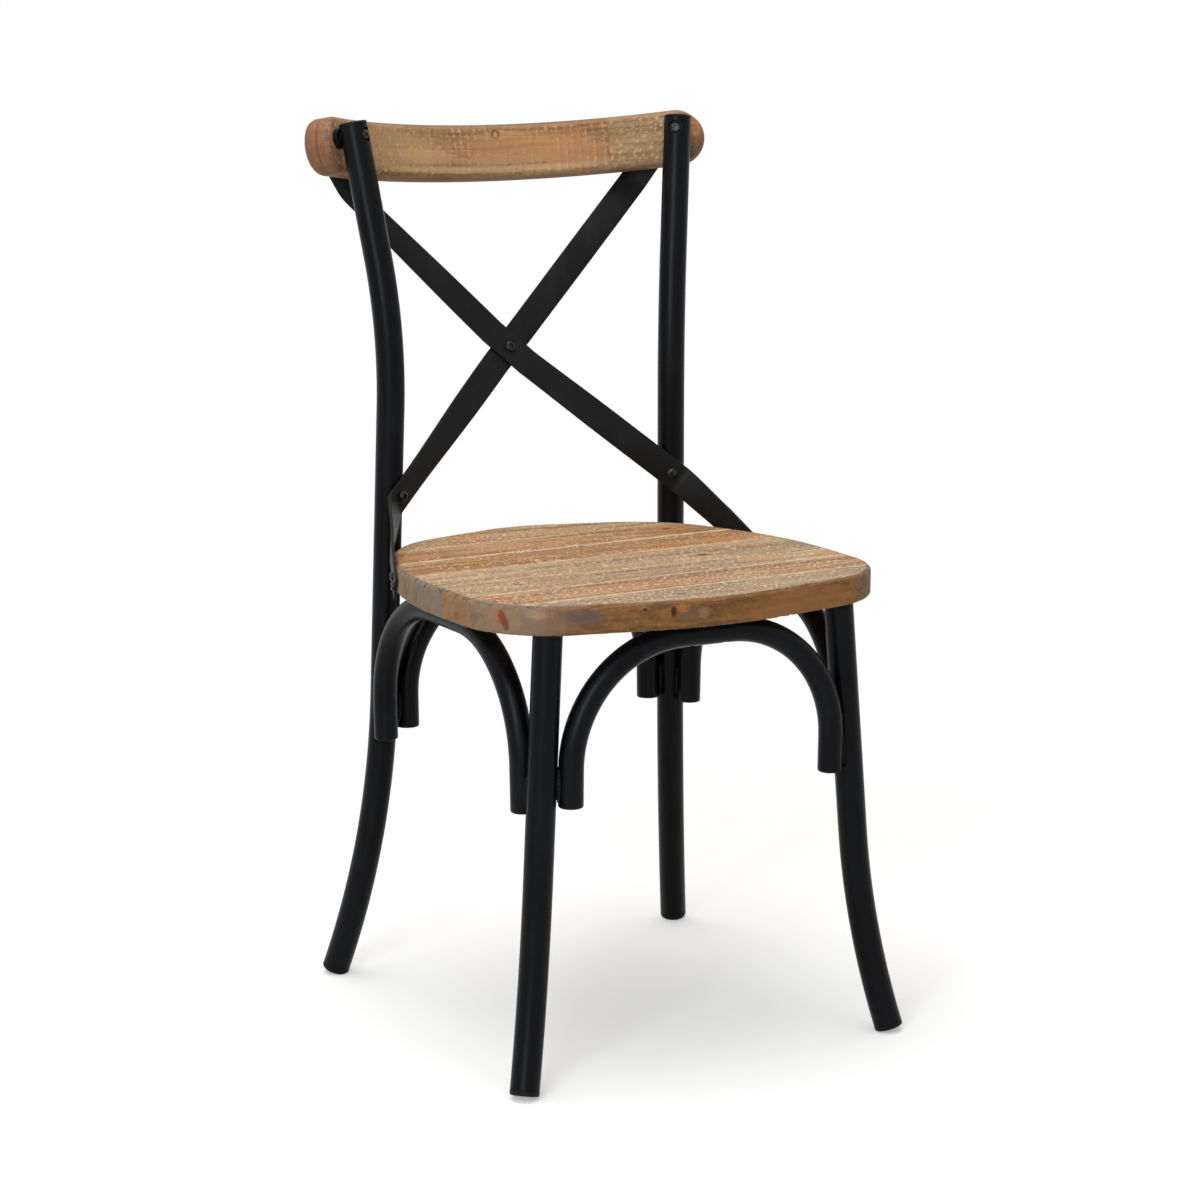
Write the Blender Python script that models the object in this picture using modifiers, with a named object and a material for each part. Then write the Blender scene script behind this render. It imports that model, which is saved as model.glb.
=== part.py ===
"""Bistro chair: bent steel tube frame, crossed flat steel straps, wooden seat and top rail.

Metres, Z up. The chair faces -Y, and left and right are the sitter's own, so left is +X.
"""
import math

import bmesh
import bpy
from mathutils import Matrix, Vector

UP = Vector((0.0, 0.0, 1.0))
ACROSS = Vector((1.0, 0.0, 0.0))
FRONT = Vector((0.0, -1.0, 0.0))
SIDES = {"left": 1, "right": -1}

GAP = 0.0003

# Seat
SEAT_TOP = 0.457
SEAT_THICKNESS = 0.028
SEAT_EDGE_RADIUS = 0.0035
SEAT_FRONT_Y = -0.2705
SEAT_FRONT_RADIUS = 0.346
SEAT_CORNER_X = 0.2140
SEAT_CORNER_Y = -0.2240
SEAT_CORNER_RADIUS = 0.0935
SEAT_SIDE_X = 0.2210
SEAT_SIDE_Y = -0.0120
SEAT_SIDE_RADIUS = 0.358
SEAT_SHOULDER_X = 0.1555
SEAT_SHOULDER_Y = 0.1305
SEAT_SHOULDER_RADIUS = 0.118
SEAT_BACK_Y = 0.1765
SEAT_BACK_RADIUS = 0.136
SEAT_JOINTS_Y = (-0.204, -0.147, -0.1025, -0.029, 0.034, 0.097)
SEAT_JOINT_SKEW = math.radians(3.2)

# Legs and posts, as they cross the seat's underside and bend below and above it
LEG_RADIUS = 0.014
LEG_WALL = 0.0015
LEG_X = 0.1574
LEG_Y = -0.2094
LEG_LEAN_X = 0.066
LEG_LEAN_Y = 0.036
LEG_SPLAY_X = 0.163
LEG_SPLAY_Y = 0.198
LEG_SPLAY_HEIGHT = 0.202
POST_X = 0.1644
POST_Y = 0.1272
POST_LEAN_X = 0.0225
POST_LEAN_Y = 0.036
POST_SPLAY_X = 0.197
POST_SPLAY_Y = 0.287
POST_SPLAY_HEIGHT = 0.303
POST_FLARE_X = 0.145
POST_FLARE_Y = 0.193
POST_FLARE_START = 0.596
POST_FLARE_RUN = 0.1515
POST_LAND = 0.0036
POST_CAP_HEAD = 0.0025
POST_CAP_CLEARANCE = 0.0012
PLUG_HEAD = 0.0035
PLUG_RIM = 0.0018
PLUG_STEM = 0.012
GLIDE_HEAD = 0.005
GLIDE_WORN = 0.0008

# Arches under the seat
ARCH_RADIUS = 0.012
ARCH_RIM = 0.0018
ARCH_BEND = 0.1155
ARCH_LEAN = 0.02
FRONT_ARCH_END = 0.2655
REAR_ARCH_END = 0.267
SIDE_ARCH_FRONT_END = 0.257
SIDE_ARCH_REAR_END = 0.2635
FRONT_ARCH_TURN = math.radians(22)
REAR_ARCH_TURN = math.radians(4)
SIDE_ARCH_FRONT_TURN = math.radians(18)
SIDE_ARCH_REAR_TURN = math.radians(22)
ARCH_SCREW_INSET = 0.008
ARCH_SCREW_ACCESS = 0.0058

# Top rail
RAIL_HEIGHT = 0.057
RAIL_THICKNESS = 0.028
RAIL_RADIUS = 0.313
RAIL_HALF_LENGTH = 0.2415
RAIL_EDGE_RADIUS = 0.006
RAIL_LEAN = math.radians(12.3)
RAIL_BOLT_Z = 0.8636
RAIL_BOLT_DROP = 0.0240
RAIL_JOINT_X = 0.131

# Crossed straps
STRAP_WIDTH = 0.0288
STRAP_THICKNESS = 0.003
CROSS_Y = 0.1785
CROSS_Z = 0.643
CROSS_LEAN = math.radians(17.5)
CROSS_SLANT = math.radians(46)
CROSS_FLAT = 0.024
CROSS_BEND = 0.043
STRAP_POST_Z = 0.5101
STRAP_KNEE_RUN = 0.0129
STRAP_KNEE_BEND = 0.019
STRAP_SEAT_Y = 0.0264
STRAP_SEAT_DROP = 0.0165
STRAP_SEAT_RUN = 0.043
STRAP_SEAT_TAIL = 0.0125
STRAP_RAIL_X = 0.182
STRAP_RAIL_RISE = 0.017
STRAP_RAIL_RUN = 0.033
STRAP_RAIL_BEND = 0.047
STRAP_RAIL_TAIL = 0.011
STRAP_RAIL_SCREWS = 0.014
STRAP_SEAT_SCREWS = 0.013

# Fasteners
BOLT_RADIUS = 0.003
BOLT_HEAD_RADIUS = 0.0056
BOLT_HEAD_HEIGHT = 0.0034
BOLT_GRIP = 0.010
BOLT_SOCKET = 0.0022
RAIL_BOLT_DEPTH = 0.022
BUSHING_RADIUS = 0.0068
BUSHING_FLANGE_RADIUS = 0.0105
BUSHING_FLANGE = 0.005
BUSHING_RECESS = 0.0045
NUT_RADIUS = 0.0058
NUT_HEIGHT = 0.005
SCREW_RADIUS = 0.0021
SCREW_HEAD_RADIUS = 0.0045
SCREW_HEAD_HEIGHT = 0.0024
SCREW_TIP = 0.003
SCREW_BITE = 0.017
SCREW_RECESS = 0.0016
HEAD_RIM_SHARE = 0.35
HEAD_CROWN_SHARE = 0.72
SOCKET_SHARE = 0.38
HEX = 6

# Smoothness of the meshes
TUBE_RESOLUTION = 5
ARCH_RESOLUTION = 4
BEND_STEPS = 7
OUTLINE_STEP = math.radians(9)
PLUG_STEPS = 14
FASTENER_STEPS = 10
RAIL_STRIPS = 22
STADIUM_STEPS = 8
STRAP_STEP = 0.025
STRAP_BEND_STEP = math.radians(7)
EDGE_RESOLUTION = 1
RIM_SEGMENTS = 2
RIM_ANGLE = math.radians(60)
ROUND_SHARP = math.radians(40)
STRAP_SHARP = math.radians(30)
WELD = 0.00001

STEEL = ("powder_coated_steel", (0.018, 0.019, 0.021, 1.0), 0.42, 0.35)
PLASTIC = ("black_plastic", (0.022, 0.022, 0.023, 1.0), 0.55, 0.0)
BOLT_STEEL = ("black_bolt_steel", (0.045, 0.046, 0.05, 1.0), 0.32, 0.9)
SEAT_WOOD = ("seat_wood", (0.52, 0.34, 0.19, 1.0), 0.72, 0.0)
RAIL_WOOD = ("rail_wood", (0.48, 0.31, 0.17, 1.0), 0.72, 0.0)

seat_underside = SEAT_TOP - SEAT_THICKNESS
facet_share = math.cos(math.pi / FASTENER_STEPS)
bolt_hole = (BOLT_RADIUS + GAP) / facet_share
screw_hole = (SCREW_RADIUS + GAP) / facet_share
bushing_hole = (BUSHING_RADIUS + GAP) / facet_share
arch_axis_z = seat_underside - GAP - ARCH_RADIUS
post_end_z = RAIL_BOLT_Z + BUSHING_RADIUS + GAP + POST_LAND


def clear_scene():
    for item in list(bpy.data.objects):
        bpy.data.objects.remove(item, do_unlink=True)


def collection(name):
    group = bpy.data.collections.new(name)
    bpy.context.scene.collection.children.link(group)
    return group


def material(spec):
    name, colour, roughness, metallic = spec
    made = bpy.data.materials.get(name)
    if made is None:
        made = bpy.data.materials.new(name)
        made.use_nodes = True
        shader = made.node_tree.nodes["Principled BSDF"]
        shader.inputs["Base Color"].default_value = colour
        shader.inputs["Roughness"].default_value = roughness
        shader.inputs["Metallic"].default_value = metallic
        made.diffuse_color = colour
    return made


def add_part(name, mesh, spec, place=None, sharp=ROUND_SHARP):
    """Link a mesh to the chair's collection under its node name."""
    part = bpy.data.objects.new(name, mesh)
    chair.objects.link(part)
    mesh.materials.clear()
    mesh.materials.append(material(spec))
    mesh.shade_smooth()
    mesh.set_sharp_from_angle(angle=sharp)
    if place is not None:
        part.matrix_world = place
    return part


def add_cutter(name, mesh, place=None):
    cutter = bpy.data.objects.new(name, mesh)
    cutters.objects.link(cutter)
    cutter.hide_render = True
    cutter.display_type = "WIRE"
    if place is not None:
        cutter.matrix_world = place
    return cutter


def boolean(part, cutter, operation="DIFFERENCE"):
    change = part.modifiers.new(cutter.name, "BOOLEAN")
    change.operation = operation
    change.solver = "EXACT"
    change.object = cutter


def baked(source, name):
    """The evaluated, welded mesh of an object that is no longer needed."""
    bpy.context.view_layer.update()
    graph = bpy.context.evaluated_depsgraph_get()
    mesh = bpy.data.meshes.new_from_object(source.evaluated_get(graph))
    mesh.name = name
    mesh.transform(source.matrix_world)
    work = bmesh.new()
    work.from_mesh(mesh)
    bmesh.ops.remove_doubles(work, verts=work.verts, dist=WELD)
    bmesh.ops.recalc_face_normals(work, faces=work.faces)
    work.to_mesh(mesh)
    work.free()
    bpy.data.objects.remove(source, do_unlink=True)
    return mesh


def line_curve(name, points, closed=False):
    data = bpy.data.curves.new(name, "CURVE")
    spline = data.splines.new("POLY")
    spline.points.add(len(points) - 1)
    for knot, point in zip(spline.points, points):
        knot.co = (*point, 1.0)
    spline.use_cyclic_u = closed
    drawn = bpy.data.objects.new(name, data)
    bpy.context.scene.collection.objects.link(drawn)
    return drawn


def round_bar(name, points, radius, resolution, ends_filled):
    drawn = line_curve(name + "_line", points)
    drawn.data.dimensions = "3D"
    drawn.data.bevel_depth = radius
    drawn.data.bevel_resolution = resolution
    drawn.data.use_fill_caps = ends_filled
    return add_part(name, baked(drawn, name), STEEL)


def tube(name, points):
    """An open-ended steel tube of a leg's size along a line of points."""
    part = round_bar(name, points, LEG_RADIUS, TUBE_RESOLUTION, ends_filled=False)
    shell = part.modifiers.new("wall", "SOLIDIFY")
    shell.thickness = LEG_WALL
    shell.offset = -1.0
    return part


def closed_tube(name, points):
    """An arch's steel tube, closed at both ends with a rounded rim."""
    part = round_bar(name, points, ARCH_RADIUS, ARCH_RESOLUTION, ends_filled=True)
    rim = part.modifiers.new("rim", "BEVEL")
    rim.width = ARCH_RIM
    rim.segments = RIM_SEGMENTS
    rim.limit_method = "ANGLE"
    rim.angle_limit = RIM_ANGLE
    return part


def plate(name, outline, thickness, edge_radius):
    """A flat plate in the XY plane, centred on Z, with rounded edges."""
    drawn = line_curve(name + "_outline", [(x, y, 0.0) for x, y in outline], closed=True)
    drawn.data.dimensions = "2D"
    drawn.data.fill_mode = "BOTH"
    drawn.data.extrude = thickness / 2 - edge_radius
    drawn.data.bevel_depth = edge_radius
    drawn.data.bevel_resolution = EDGE_RESOLUTION
    drawn.data.offset = -edge_radius
    return baked(drawn, name)


def cylinder_mesh(name, radius, length, sides=FASTENER_STEPS):
    """A closed cylinder from the origin along +Z."""
    mesh = bpy.data.meshes.new(name)
    work = bmesh.new()
    shift = Matrix.Translation((0.0, 0.0, length / 2))
    bmesh.ops.create_cone(work, cap_ends=True, segments=sides, radius1=radius, radius2=radius,
                          depth=length, matrix=shift)
    work.to_mesh(mesh)
    work.free()
    return mesh


def box_mesh(name, low, high):
    mesh = bpy.data.meshes.new(name)
    work = bmesh.new()
    size = Vector(high) - Vector(low)
    middle = (Vector(high) + Vector(low)) / 2
    bmesh.ops.create_cube(work, size=1.0, matrix=Matrix.LocRotScale(middle, None, size))
    work.to_mesh(mesh)
    work.free()
    return mesh


def frame_along(point, axis):
    """A frame at point whose Z runs along axis."""
    turn = Vector(axis).to_track_quat("Z", "Y")
    return Matrix.LocRotScale(Vector(point), turn, None)


def turned(name, profile, place, spec, steps, closed=False):
    """A turned solid from (radius, height) points, given from the bottom up."""
    mesh = bpy.data.meshes.new(name)
    count = len(profile)
    edges = [(i, i + 1) for i in range(count - 1)]
    if closed:
        edges.append((count - 1, 0))
    mesh.from_pydata([(r, 0.0, h) for r, h in profile], edges, [])
    part = add_part(name, mesh, spec, place)
    spin = part.modifiers.new("turn", "SCREW")
    spin.axis = "Z"
    spin.steps = steps
    spin.render_steps = steps
    spin.use_merge_vertices = True
    spin.merge_threshold = WELD
    spin.use_normal_calculate = True
    spin.use_smooth_shade = True
    spin.use_normal_flip = closed
    return part


def drill(part, name, place, radius, length, sides=FASTENER_STEPS):
    boolean(part, add_cutter(name, cylinder_mesh(name, radius, length, sides), place))


def ramp(distance, run):
    """Offset of a line that bends evenly over run and then keeps a slope of one."""
    if distance <= 0.0:
        return 0.0
    if distance < run:
        return distance * distance / (2 * run)
    return distance - run / 2


def leg_centre(side, z):
    below = seat_underside - z
    splay = ramp(LEG_SPLAY_HEIGHT - z, LEG_SPLAY_HEIGHT)
    x = LEG_X + LEG_LEAN_X * below + LEG_SPLAY_X * splay
    y = LEG_Y - LEG_LEAN_Y * below - LEG_SPLAY_Y * splay
    return Vector((side * x, y, z))


def post_centre(side, z):
    below = seat_underside - z
    splay = ramp(POST_SPLAY_HEIGHT - z, POST_SPLAY_HEIGHT)
    flare = ramp(z - POST_FLARE_START, POST_FLARE_RUN)
    x = POST_X + POST_LEAN_X * below + POST_SPLAY_X * splay + POST_FLARE_X * flare
    y = POST_Y + POST_LEAN_Y * below + POST_SPLAY_Y * splay + POST_FLARE_Y * flare
    return Vector((side * x, y, z))


def spaced(start, end, steps):
    return [start + (end - start) * i / steps for i in range(steps)]


def filleted(corners, radii, step):
    """A line through corners whose inner corners are rounded to the given radii."""
    points = [corners[0]]
    for before, corner, after, radius in zip(corners, corners[1:], corners[2:], radii):
        arrive = (corner - before).normalized()
        leave = (after - corner).normalized()
        turn = arrive.angle(leave)
        setback = radius * math.tan(turn / 2)
        centre_way = (leave - arrive).normalized()
        centre = corner + centre_way * radius / math.cos(turn / 2)
        start = corner - arrive * setback - centre
        axis = arrive.cross(leave).normalized()
        count = max(2, round(turn / step))
        for i in range(count + 1):
            points.append(centre + Matrix.Rotation(turn * i / count, 3, axis) @ start)
    points.append(corners[-1])
    return points


def seat_outline():
    """The seat's outline, from the middle of its back round by the left side."""
    half = [(0.0, SEAT_BACK_Y, SEAT_BACK_RADIUS), (SEAT_SHOULDER_X, SEAT_SHOULDER_Y, SEAT_SHOULDER_RADIUS),
            (SEAT_SIDE_X, SEAT_SIDE_Y, SEAT_SIDE_RADIUS), (SEAT_CORNER_X, SEAT_CORNER_Y, SEAT_CORNER_RADIUS),
            (0.0, SEAT_FRONT_Y, SEAT_FRONT_RADIUS)]
    whole = half + [(-x, y, r) for x, y, r in reversed(half[1:-1])]
    corners = [Vector((x, y, 0.0)) for x, y, r in whole]
    looped = [corners[-1]] + corners + [corners[0]]
    line = filleted(looped, [r for x, y, r in whole], OUTLINE_STEP)
    return [(p.x, p.y) for p in line[1:-1]]


def seat_edge(side, y):
    """The point of the seat's side at y, and the outward direction there."""
    around = [Vector((px, py, 0.0)) for px, py in seat_outline() if px > 0.0]
    for a, b in zip(around, around[1:]):
        if a.y >= y > b.y:
            share = (a.y - y) / (a.y - b.y)
            spot = a.lerp(b, share)
            outward = (b - a).cross(-UP).normalized()
            if outward.x < 0.0:
                outward = -outward
            return Vector((side * spot.x, spot.y, 0.0)), Vector((side * outward.x, outward.y, 0.0))
    raise ValueError("the seat has no side at this depth")


def end_frame(line):
    """A frame at a line's first point, with Z pointing out of the tube."""
    return frame_along(line[0], line[0] - line[1])


def plug(name, line, head, stem=PLUG_STEM):
    """A cap with a stem, pushed into the tube's end at the start of line."""
    tube_sides = 2 * TUBE_RESOLUTION + 4
    bore = LEG_RADIUS * math.cos(math.pi / tube_sides) - LEG_WALL - GAP
    top = GAP + head
    inset = PLUG_RIM * (1.0 - math.sqrt(0.5))
    profile = [(0.0, -stem), (bore, -stem), (bore, GAP), (LEG_RADIUS, GAP), (LEG_RADIUS, top - PLUG_RIM),
               (LEG_RADIUS - inset, top - inset), (LEG_RADIUS - PLUG_RIM, top), (0.0, top)]
    return turned(name, profile, end_frame(line), PLASTIC, PLUG_STEPS)


def foot_start(centre, side, tip_height):
    """Height on a foot's centre line at which its tube is cut, so that its glide meets the floor."""
    slope = centre(side, 0.0) - centre(side, tip_height)
    tilt = slope.angle(-UP)
    rim = LEG_RADIUS - PLUG_RIM
    face = rim * math.sin(tilt) + PLUG_RIM * (1.0 - math.cos(tilt)) - GLIDE_WORN
    return face + (GAP + GLIDE_HEAD) * math.cos(tilt)


def foot_line(centre, side, splay_height):
    start = foot_start(centre, side, 2 * GLIDE_HEAD)
    return [centre(side, z) for z in spaced(start, splay_height, BEND_STEPS)]


def make_glide(name, line):
    glide = plug(name, line, GLIDE_HEAD)
    boolean(glide, floor_cutter)


def make_front_leg(word, side):
    line = foot_line(leg_centre, side, LEG_SPLAY_HEIGHT)
    line.append(leg_centre(side, LEG_SPLAY_HEIGHT))
    top = leg_centre(side, seat_underside)
    end = top + (line[-1] - top).normalized() * (PLUG_HEAD + 2 * GAP + LEG_RADIUS * LEG_LEAN_X)
    line.append(end)
    tube("front_leg_" + word, line)
    make_glide("glide_front_" + word, line)
    plug("leg_plug_" + word, line[::-1], PLUG_HEAD)


def make_rear_post(word, side):
    line = foot_line(post_centre, side, POST_SPLAY_HEIGHT)
    line += [post_centre(side, POST_SPLAY_HEIGHT)]
    line += [post_centre(side, z) for z in spaced(POST_FLARE_START, POST_FLARE_START + POST_FLARE_RUN, BEND_STEPS)]
    line += [post_centre(side, POST_FLARE_START + POST_FLARE_RUN), post_centre(side, post_end_z)]
    post = tube("rear_post_" + word, line)
    make_glide("glide_rear_" + word, line)
    plug("post_cap_" + word, line[::-1], POST_CAP_HEAD, POST_LAND - POST_CAP_CLEARANCE)
    return post


def arch_leg(centre, side, way, outward, end):
    """An arch's foot and its upper corner: its upright touches the leg where its bend begins."""
    bend_z = arch_axis_z - ARCH_BEND
    axis = centre(side, seat_underside) - centre(side, bend_z)
    upright = UP + outward * ARCH_LEAN
    closing = (axis / axis.z - upright).dot(way)
    square = (way - axis * way.dot(axis) / axis.length_squared).normalized()
    start = centre(side, bend_z) + square * (LEG_RADIUS + ARCH_RADIUS + GAP + ARCH_BEND * closing ** 2 / 2)
    touch = start + axis * (bend_z - start.z) / axis.z
    return touch + upright * (end - bend_z), touch + upright * (arch_axis_z - bend_z)


def make_arch(name, foot_a, top_a, top_b, foot_b):
    """A bent tube with its feet beside the legs, its top under the seat, and two screws sunk in access holes."""
    corners = [foot_a, top_a, top_b, foot_b]
    line = filleted(corners, [ARCH_BEND, ARCH_BEND], math.pi / 2 / BEND_STEPS)
    arch = closed_tube(name, line)
    middle = (top_a + top_b) / 2
    run = (top_b - top_a).normalized()
    reach = (top_b - top_a).length / 2 - ARCH_BEND - ARCH_SCREW_INSET
    for letter, way in (("a", -1), ("b", 1)):
        spot = middle + run * way * reach
        wall_z = arch_axis_z + ARCH_RADIUS - LEG_WALL
        spot.z = wall_z - GAP
        length = LEG_WALL + 3 * GAP + SCREW_BITE
        fastener(name + "_screw_" + letter, frame_along(spot, -UP), SCREW_RADIUS, length, SCREW_HEAD_RADIUS,
                 SCREW_HEAD_HEIGHT, SCREW_RECESS, SCREW_TIP)
        upward = frame_along(spot, UP)
        drill(arch, name + "_hole_" + letter, upward, screw_hole, LEG_WALL + 2 * GAP)
        spot.z = arch_axis_z - ARCH_RADIUS - GAP
        drill(arch, name + "_access_" + letter, frame_along(spot, UP), ARCH_SCREW_ACCESS, wall_z - spot.z)
        seat_holes.append((upward, length + GAP))


def fastener(name, place, radius, length, head_radius, head_height, socket, tip=0.0):
    """A round-headed screw or bolt: Z points out of the head, and the origin is under it."""
    profile = [(0.0, -length), (radius, -length + tip), (radius, 0.0), (head_radius, 0.0),
               (head_radius, head_height * HEAD_RIM_SHARE), (head_radius * HEAD_CROWN_SHARE, head_height),
               (0.0, head_height)]
    part = turned(name, profile, place, BOLT_STEEL, FASTENER_STEPS)
    key = place @ Matrix.Translation((0.0, 0.0, head_height - socket))
    drill(part, name + "_socket", key, head_radius * SOCKET_SHARE, 2 * socket, HEX)
    return part


def make_arches():
    for name, centre, end, turn, toward in (("front_arch", leg_centre, FRONT_ARCH_END, FRONT_ARCH_TURN, -1),
                                            ("rear_arch", post_centre, REAR_ARCH_END, REAR_ARCH_TURN, 1)):
        outward = -FRONT * toward
        right_way = Vector((math.cos(turn), toward * math.sin(turn), 0.0))
        left_way = Vector((-math.cos(turn), toward * math.sin(turn), 0.0))
        right = arch_leg(centre, SIDES["right"], right_way, outward, end)
        left = arch_leg(centre, SIDES["left"], left_way, outward, end)
        make_arch(name, right[0], right[1], left[1], left[0])
    for word, side in SIDES.items():
        outward = ACROSS * side
        turn = SIDE_ARCH_FRONT_TURN
        rearward = Vector((side * math.sin(turn), math.cos(turn), 0.0))
        turn = SIDE_ARCH_REAR_TURN
        forward = Vector((side * math.sin(turn), -math.cos(turn), 0.0))
        front = arch_leg(leg_centre, side, rearward, outward, SIDE_ARCH_FRONT_END)
        rear = arch_leg(post_centre, side, forward, outward, SIDE_ARCH_REAR_END)
        make_arch("side_arch_" + word, front[0], front[1], rear[1], rear[0])


def make_seat():
    """Seven boards glued edge to edge a little askew, cut from one rounded outline."""
    blank = plate("seat_blank", seat_outline(), SEAT_THICKNESS, SEAT_EDGE_RADIUS)
    blank.transform(Matrix.Translation((0.0, 0.0, SEAT_TOP - SEAT_THICKNESS / 2)))
    drilled = bpy.data.objects.new("seat_drilled", blank)
    bpy.context.scene.collection.objects.link(drilled)
    for number, (place, length) in enumerate(seat_holes):
        drill(drilled, "seat_hole_%d" % number, place, screw_hole, length)
    whole = baked(drilled, "seat_whole")
    joints = [SEAT_FRONT_Y - SEAT_THICKNESS, *SEAT_JOINTS_Y, SEAT_BACK_Y + SEAT_THICKNESS]
    reach = SEAT_SIDE_X + SEAT_CORNER_RADIUS
    skew = Matrix.Rotation(SEAT_JOINT_SKEW, 4, "Z")
    for number, (front, back) in enumerate(zip(joints, joints[1:]), 1):
        board = add_part("seat_board_%d" % number, whole.copy(), SEAT_WOOD)
        low = (-reach, front + GAP / 2, seat_underside - SEAT_THICKNESS)
        high = (reach, back - GAP / 2, SEAT_TOP + SEAT_THICKNESS)
        slab = box_mesh("board_slab_%d" % number, low, high)
        boolean(board, add_cutter("board_slab_%d" % number, slab, skew), "INTERSECT")
    bpy.data.meshes.remove(whole)


class RailFrame:
    """The top rail's own directions: along its lean, and out from its centre of curvature."""

    def __init__(self):
        self.rise = Vector((0.0, math.sin(RAIL_LEAN), math.cos(RAIL_LEAN)))
        self.depth = Vector((0.0, math.cos(RAIL_LEAN), -math.sin(RAIL_LEAN)))
        bolt = post_centre(1, RAIL_BOLT_Z)
        strip = 2 * RAIL_HALF_LENGTH / RAIL_STRIPS
        rim_rise = BUSHING_FLANGE_RADIUS ** 2 / (2 * RAIL_RADIUS) + strip ** 2 / (8 * RAIL_RADIUS)
        reach = RAIL_RADIUS - LEG_RADIUS - BUSHING_FLANGE - 2 * GAP - rim_rise
        self.bolt_angle = math.asin(bolt.x / reach)
        level = bolt - self.outward(self.bolt_angle) * reach
        self.centre = level - self.rise * (RAIL_HEIGHT / 2 - RAIL_BOLT_DROP)

    def outward(self, angle):
        return ACROSS * math.sin(angle) + self.depth * math.cos(angle)

    def point(self, angle, distance, height):
        """A point at an angle round the rail, behind its front face and above its middle line."""
        return self.centre + self.outward(angle) * (RAIL_RADIUS + distance) + self.rise * height


def stadium(half_length, half_height):
    """A long outline with half-round ends."""
    outline = []
    for side in (1, -1):
        for i in range(STADIUM_STEPS + 1):
            angle = side * (math.pi / 2 - math.pi * i / STADIUM_STEPS)
            x = side * (half_length - half_height) + side * half_height * math.cos(angle)
            outline.append((x, half_height * math.sin(angle)))
    return outline


def rail_blank(rail):
    """The curved rail in one piece: a flat stadium plate, sliced across and bent round its radius."""
    mesh = plate("rail_blank", stadium(RAIL_HALF_LENGTH, RAIL_HEIGHT / 2), RAIL_THICKNESS, RAIL_EDGE_RADIUS)
    work = bmesh.new()
    work.from_mesh(mesh)
    for x in spaced(-RAIL_HALF_LENGTH, RAIL_HALF_LENGTH, RAIL_STRIPS)[1:]:
        everything = list(work.verts) + list(work.edges) + list(work.faces)
        bmesh.ops.bisect_plane(work, geom=everything, plane_co=(x, 0.0, 0.0), plane_no=ACROSS)
    for vertex in work.verts:
        along, height, depth = vertex.co
        middle = RAIL_RADIUS + RAIL_THICKNESS / 2
        vertex.co = rail.point(along / middle, RAIL_THICKNESS / 2 - depth, height)
    bmesh.ops.recalc_face_normals(work, faces=work.faces)
    work.to_mesh(mesh)
    work.free()
    return mesh


def make_rail(rail):
    """Two lengths glued end to end, with blind holes for the bolts and the straps' screws."""
    blank = rail_blank(rail)
    drilled = bpy.data.objects.new("rail_drilled", blank)
    bpy.context.scene.collection.objects.link(drilled)
    for number, (place, radius, length) in enumerate(rail_holes):
        drill(drilled, "rail_hole_%d" % number, place, radius, length)
    whole = baked(drilled, "rail_whole")
    reach = RAIL_HALF_LENGTH + RAIL_THICKNESS
    low_y = -SEAT_TOP
    high_z = 2 * SEAT_TOP + RAIL_HEIGHT
    for word, low_x, high_x in (("left", RAIL_JOINT_X + GAP / 2, reach), ("right", -reach, RAIL_JOINT_X - GAP / 2)):
        length = add_part("top_rail_" + word, whole.copy(), RAIL_WOOD)
        slab = box_mesh("rail_slab_" + word, (low_x, low_y, SEAT_TOP), (high_x, SEAT_TOP, high_z))
        boolean(length, add_cutter("rail_slab_" + word, slab), "INTERSECT")
    bpy.data.meshes.remove(whole)


def post_contact(side, start):
    """Where the front of a post touches a flat strap that comes from start, and the way it faces there."""
    middle = post_centre(side, STRAP_POST_Z)
    axis = (post_centre(side, POST_FLARE_START) - middle).normalized()
    reach = LEG_RADIUS + STRAP_THICKNESS / 2 + GAP
    inward = start - middle
    inward -= axis * inward.dot(axis)
    share = reach / inward.length
    aside = axis.cross(inward).normalized()
    if aside.dot(FRONT) < 0.0:
        aside = -aside
    face = inward.normalized() * share + aside * math.sqrt(1.0 - share * share)
    return middle + face * reach, face


def seat_contact(side):
    """Where a strap's end lies against the seat's side, and the way its front faces there."""
    edge, outward = seat_edge(side, STRAP_SEAT_Y)
    spot = edge + outward * (STRAP_THICKNESS / 2 + GAP)
    spot.z = SEAT_TOP - STRAP_SEAT_DROP
    return spot, -outward


def rail_contact(rail, side):
    """Where a strap's end lies against the rail's back, and the way its front faces there."""
    angle = side * math.asin(STRAP_RAIL_X / (RAIL_RADIUS + RAIL_THICKNESS))
    distance = RAIL_THICKNESS + STRAP_THICKNESS / 2 + GAP
    return rail.point(angle, distance, STRAP_RAIL_RISE - RAIL_HEIGHT / 2), -rail.outward(angle)


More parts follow.
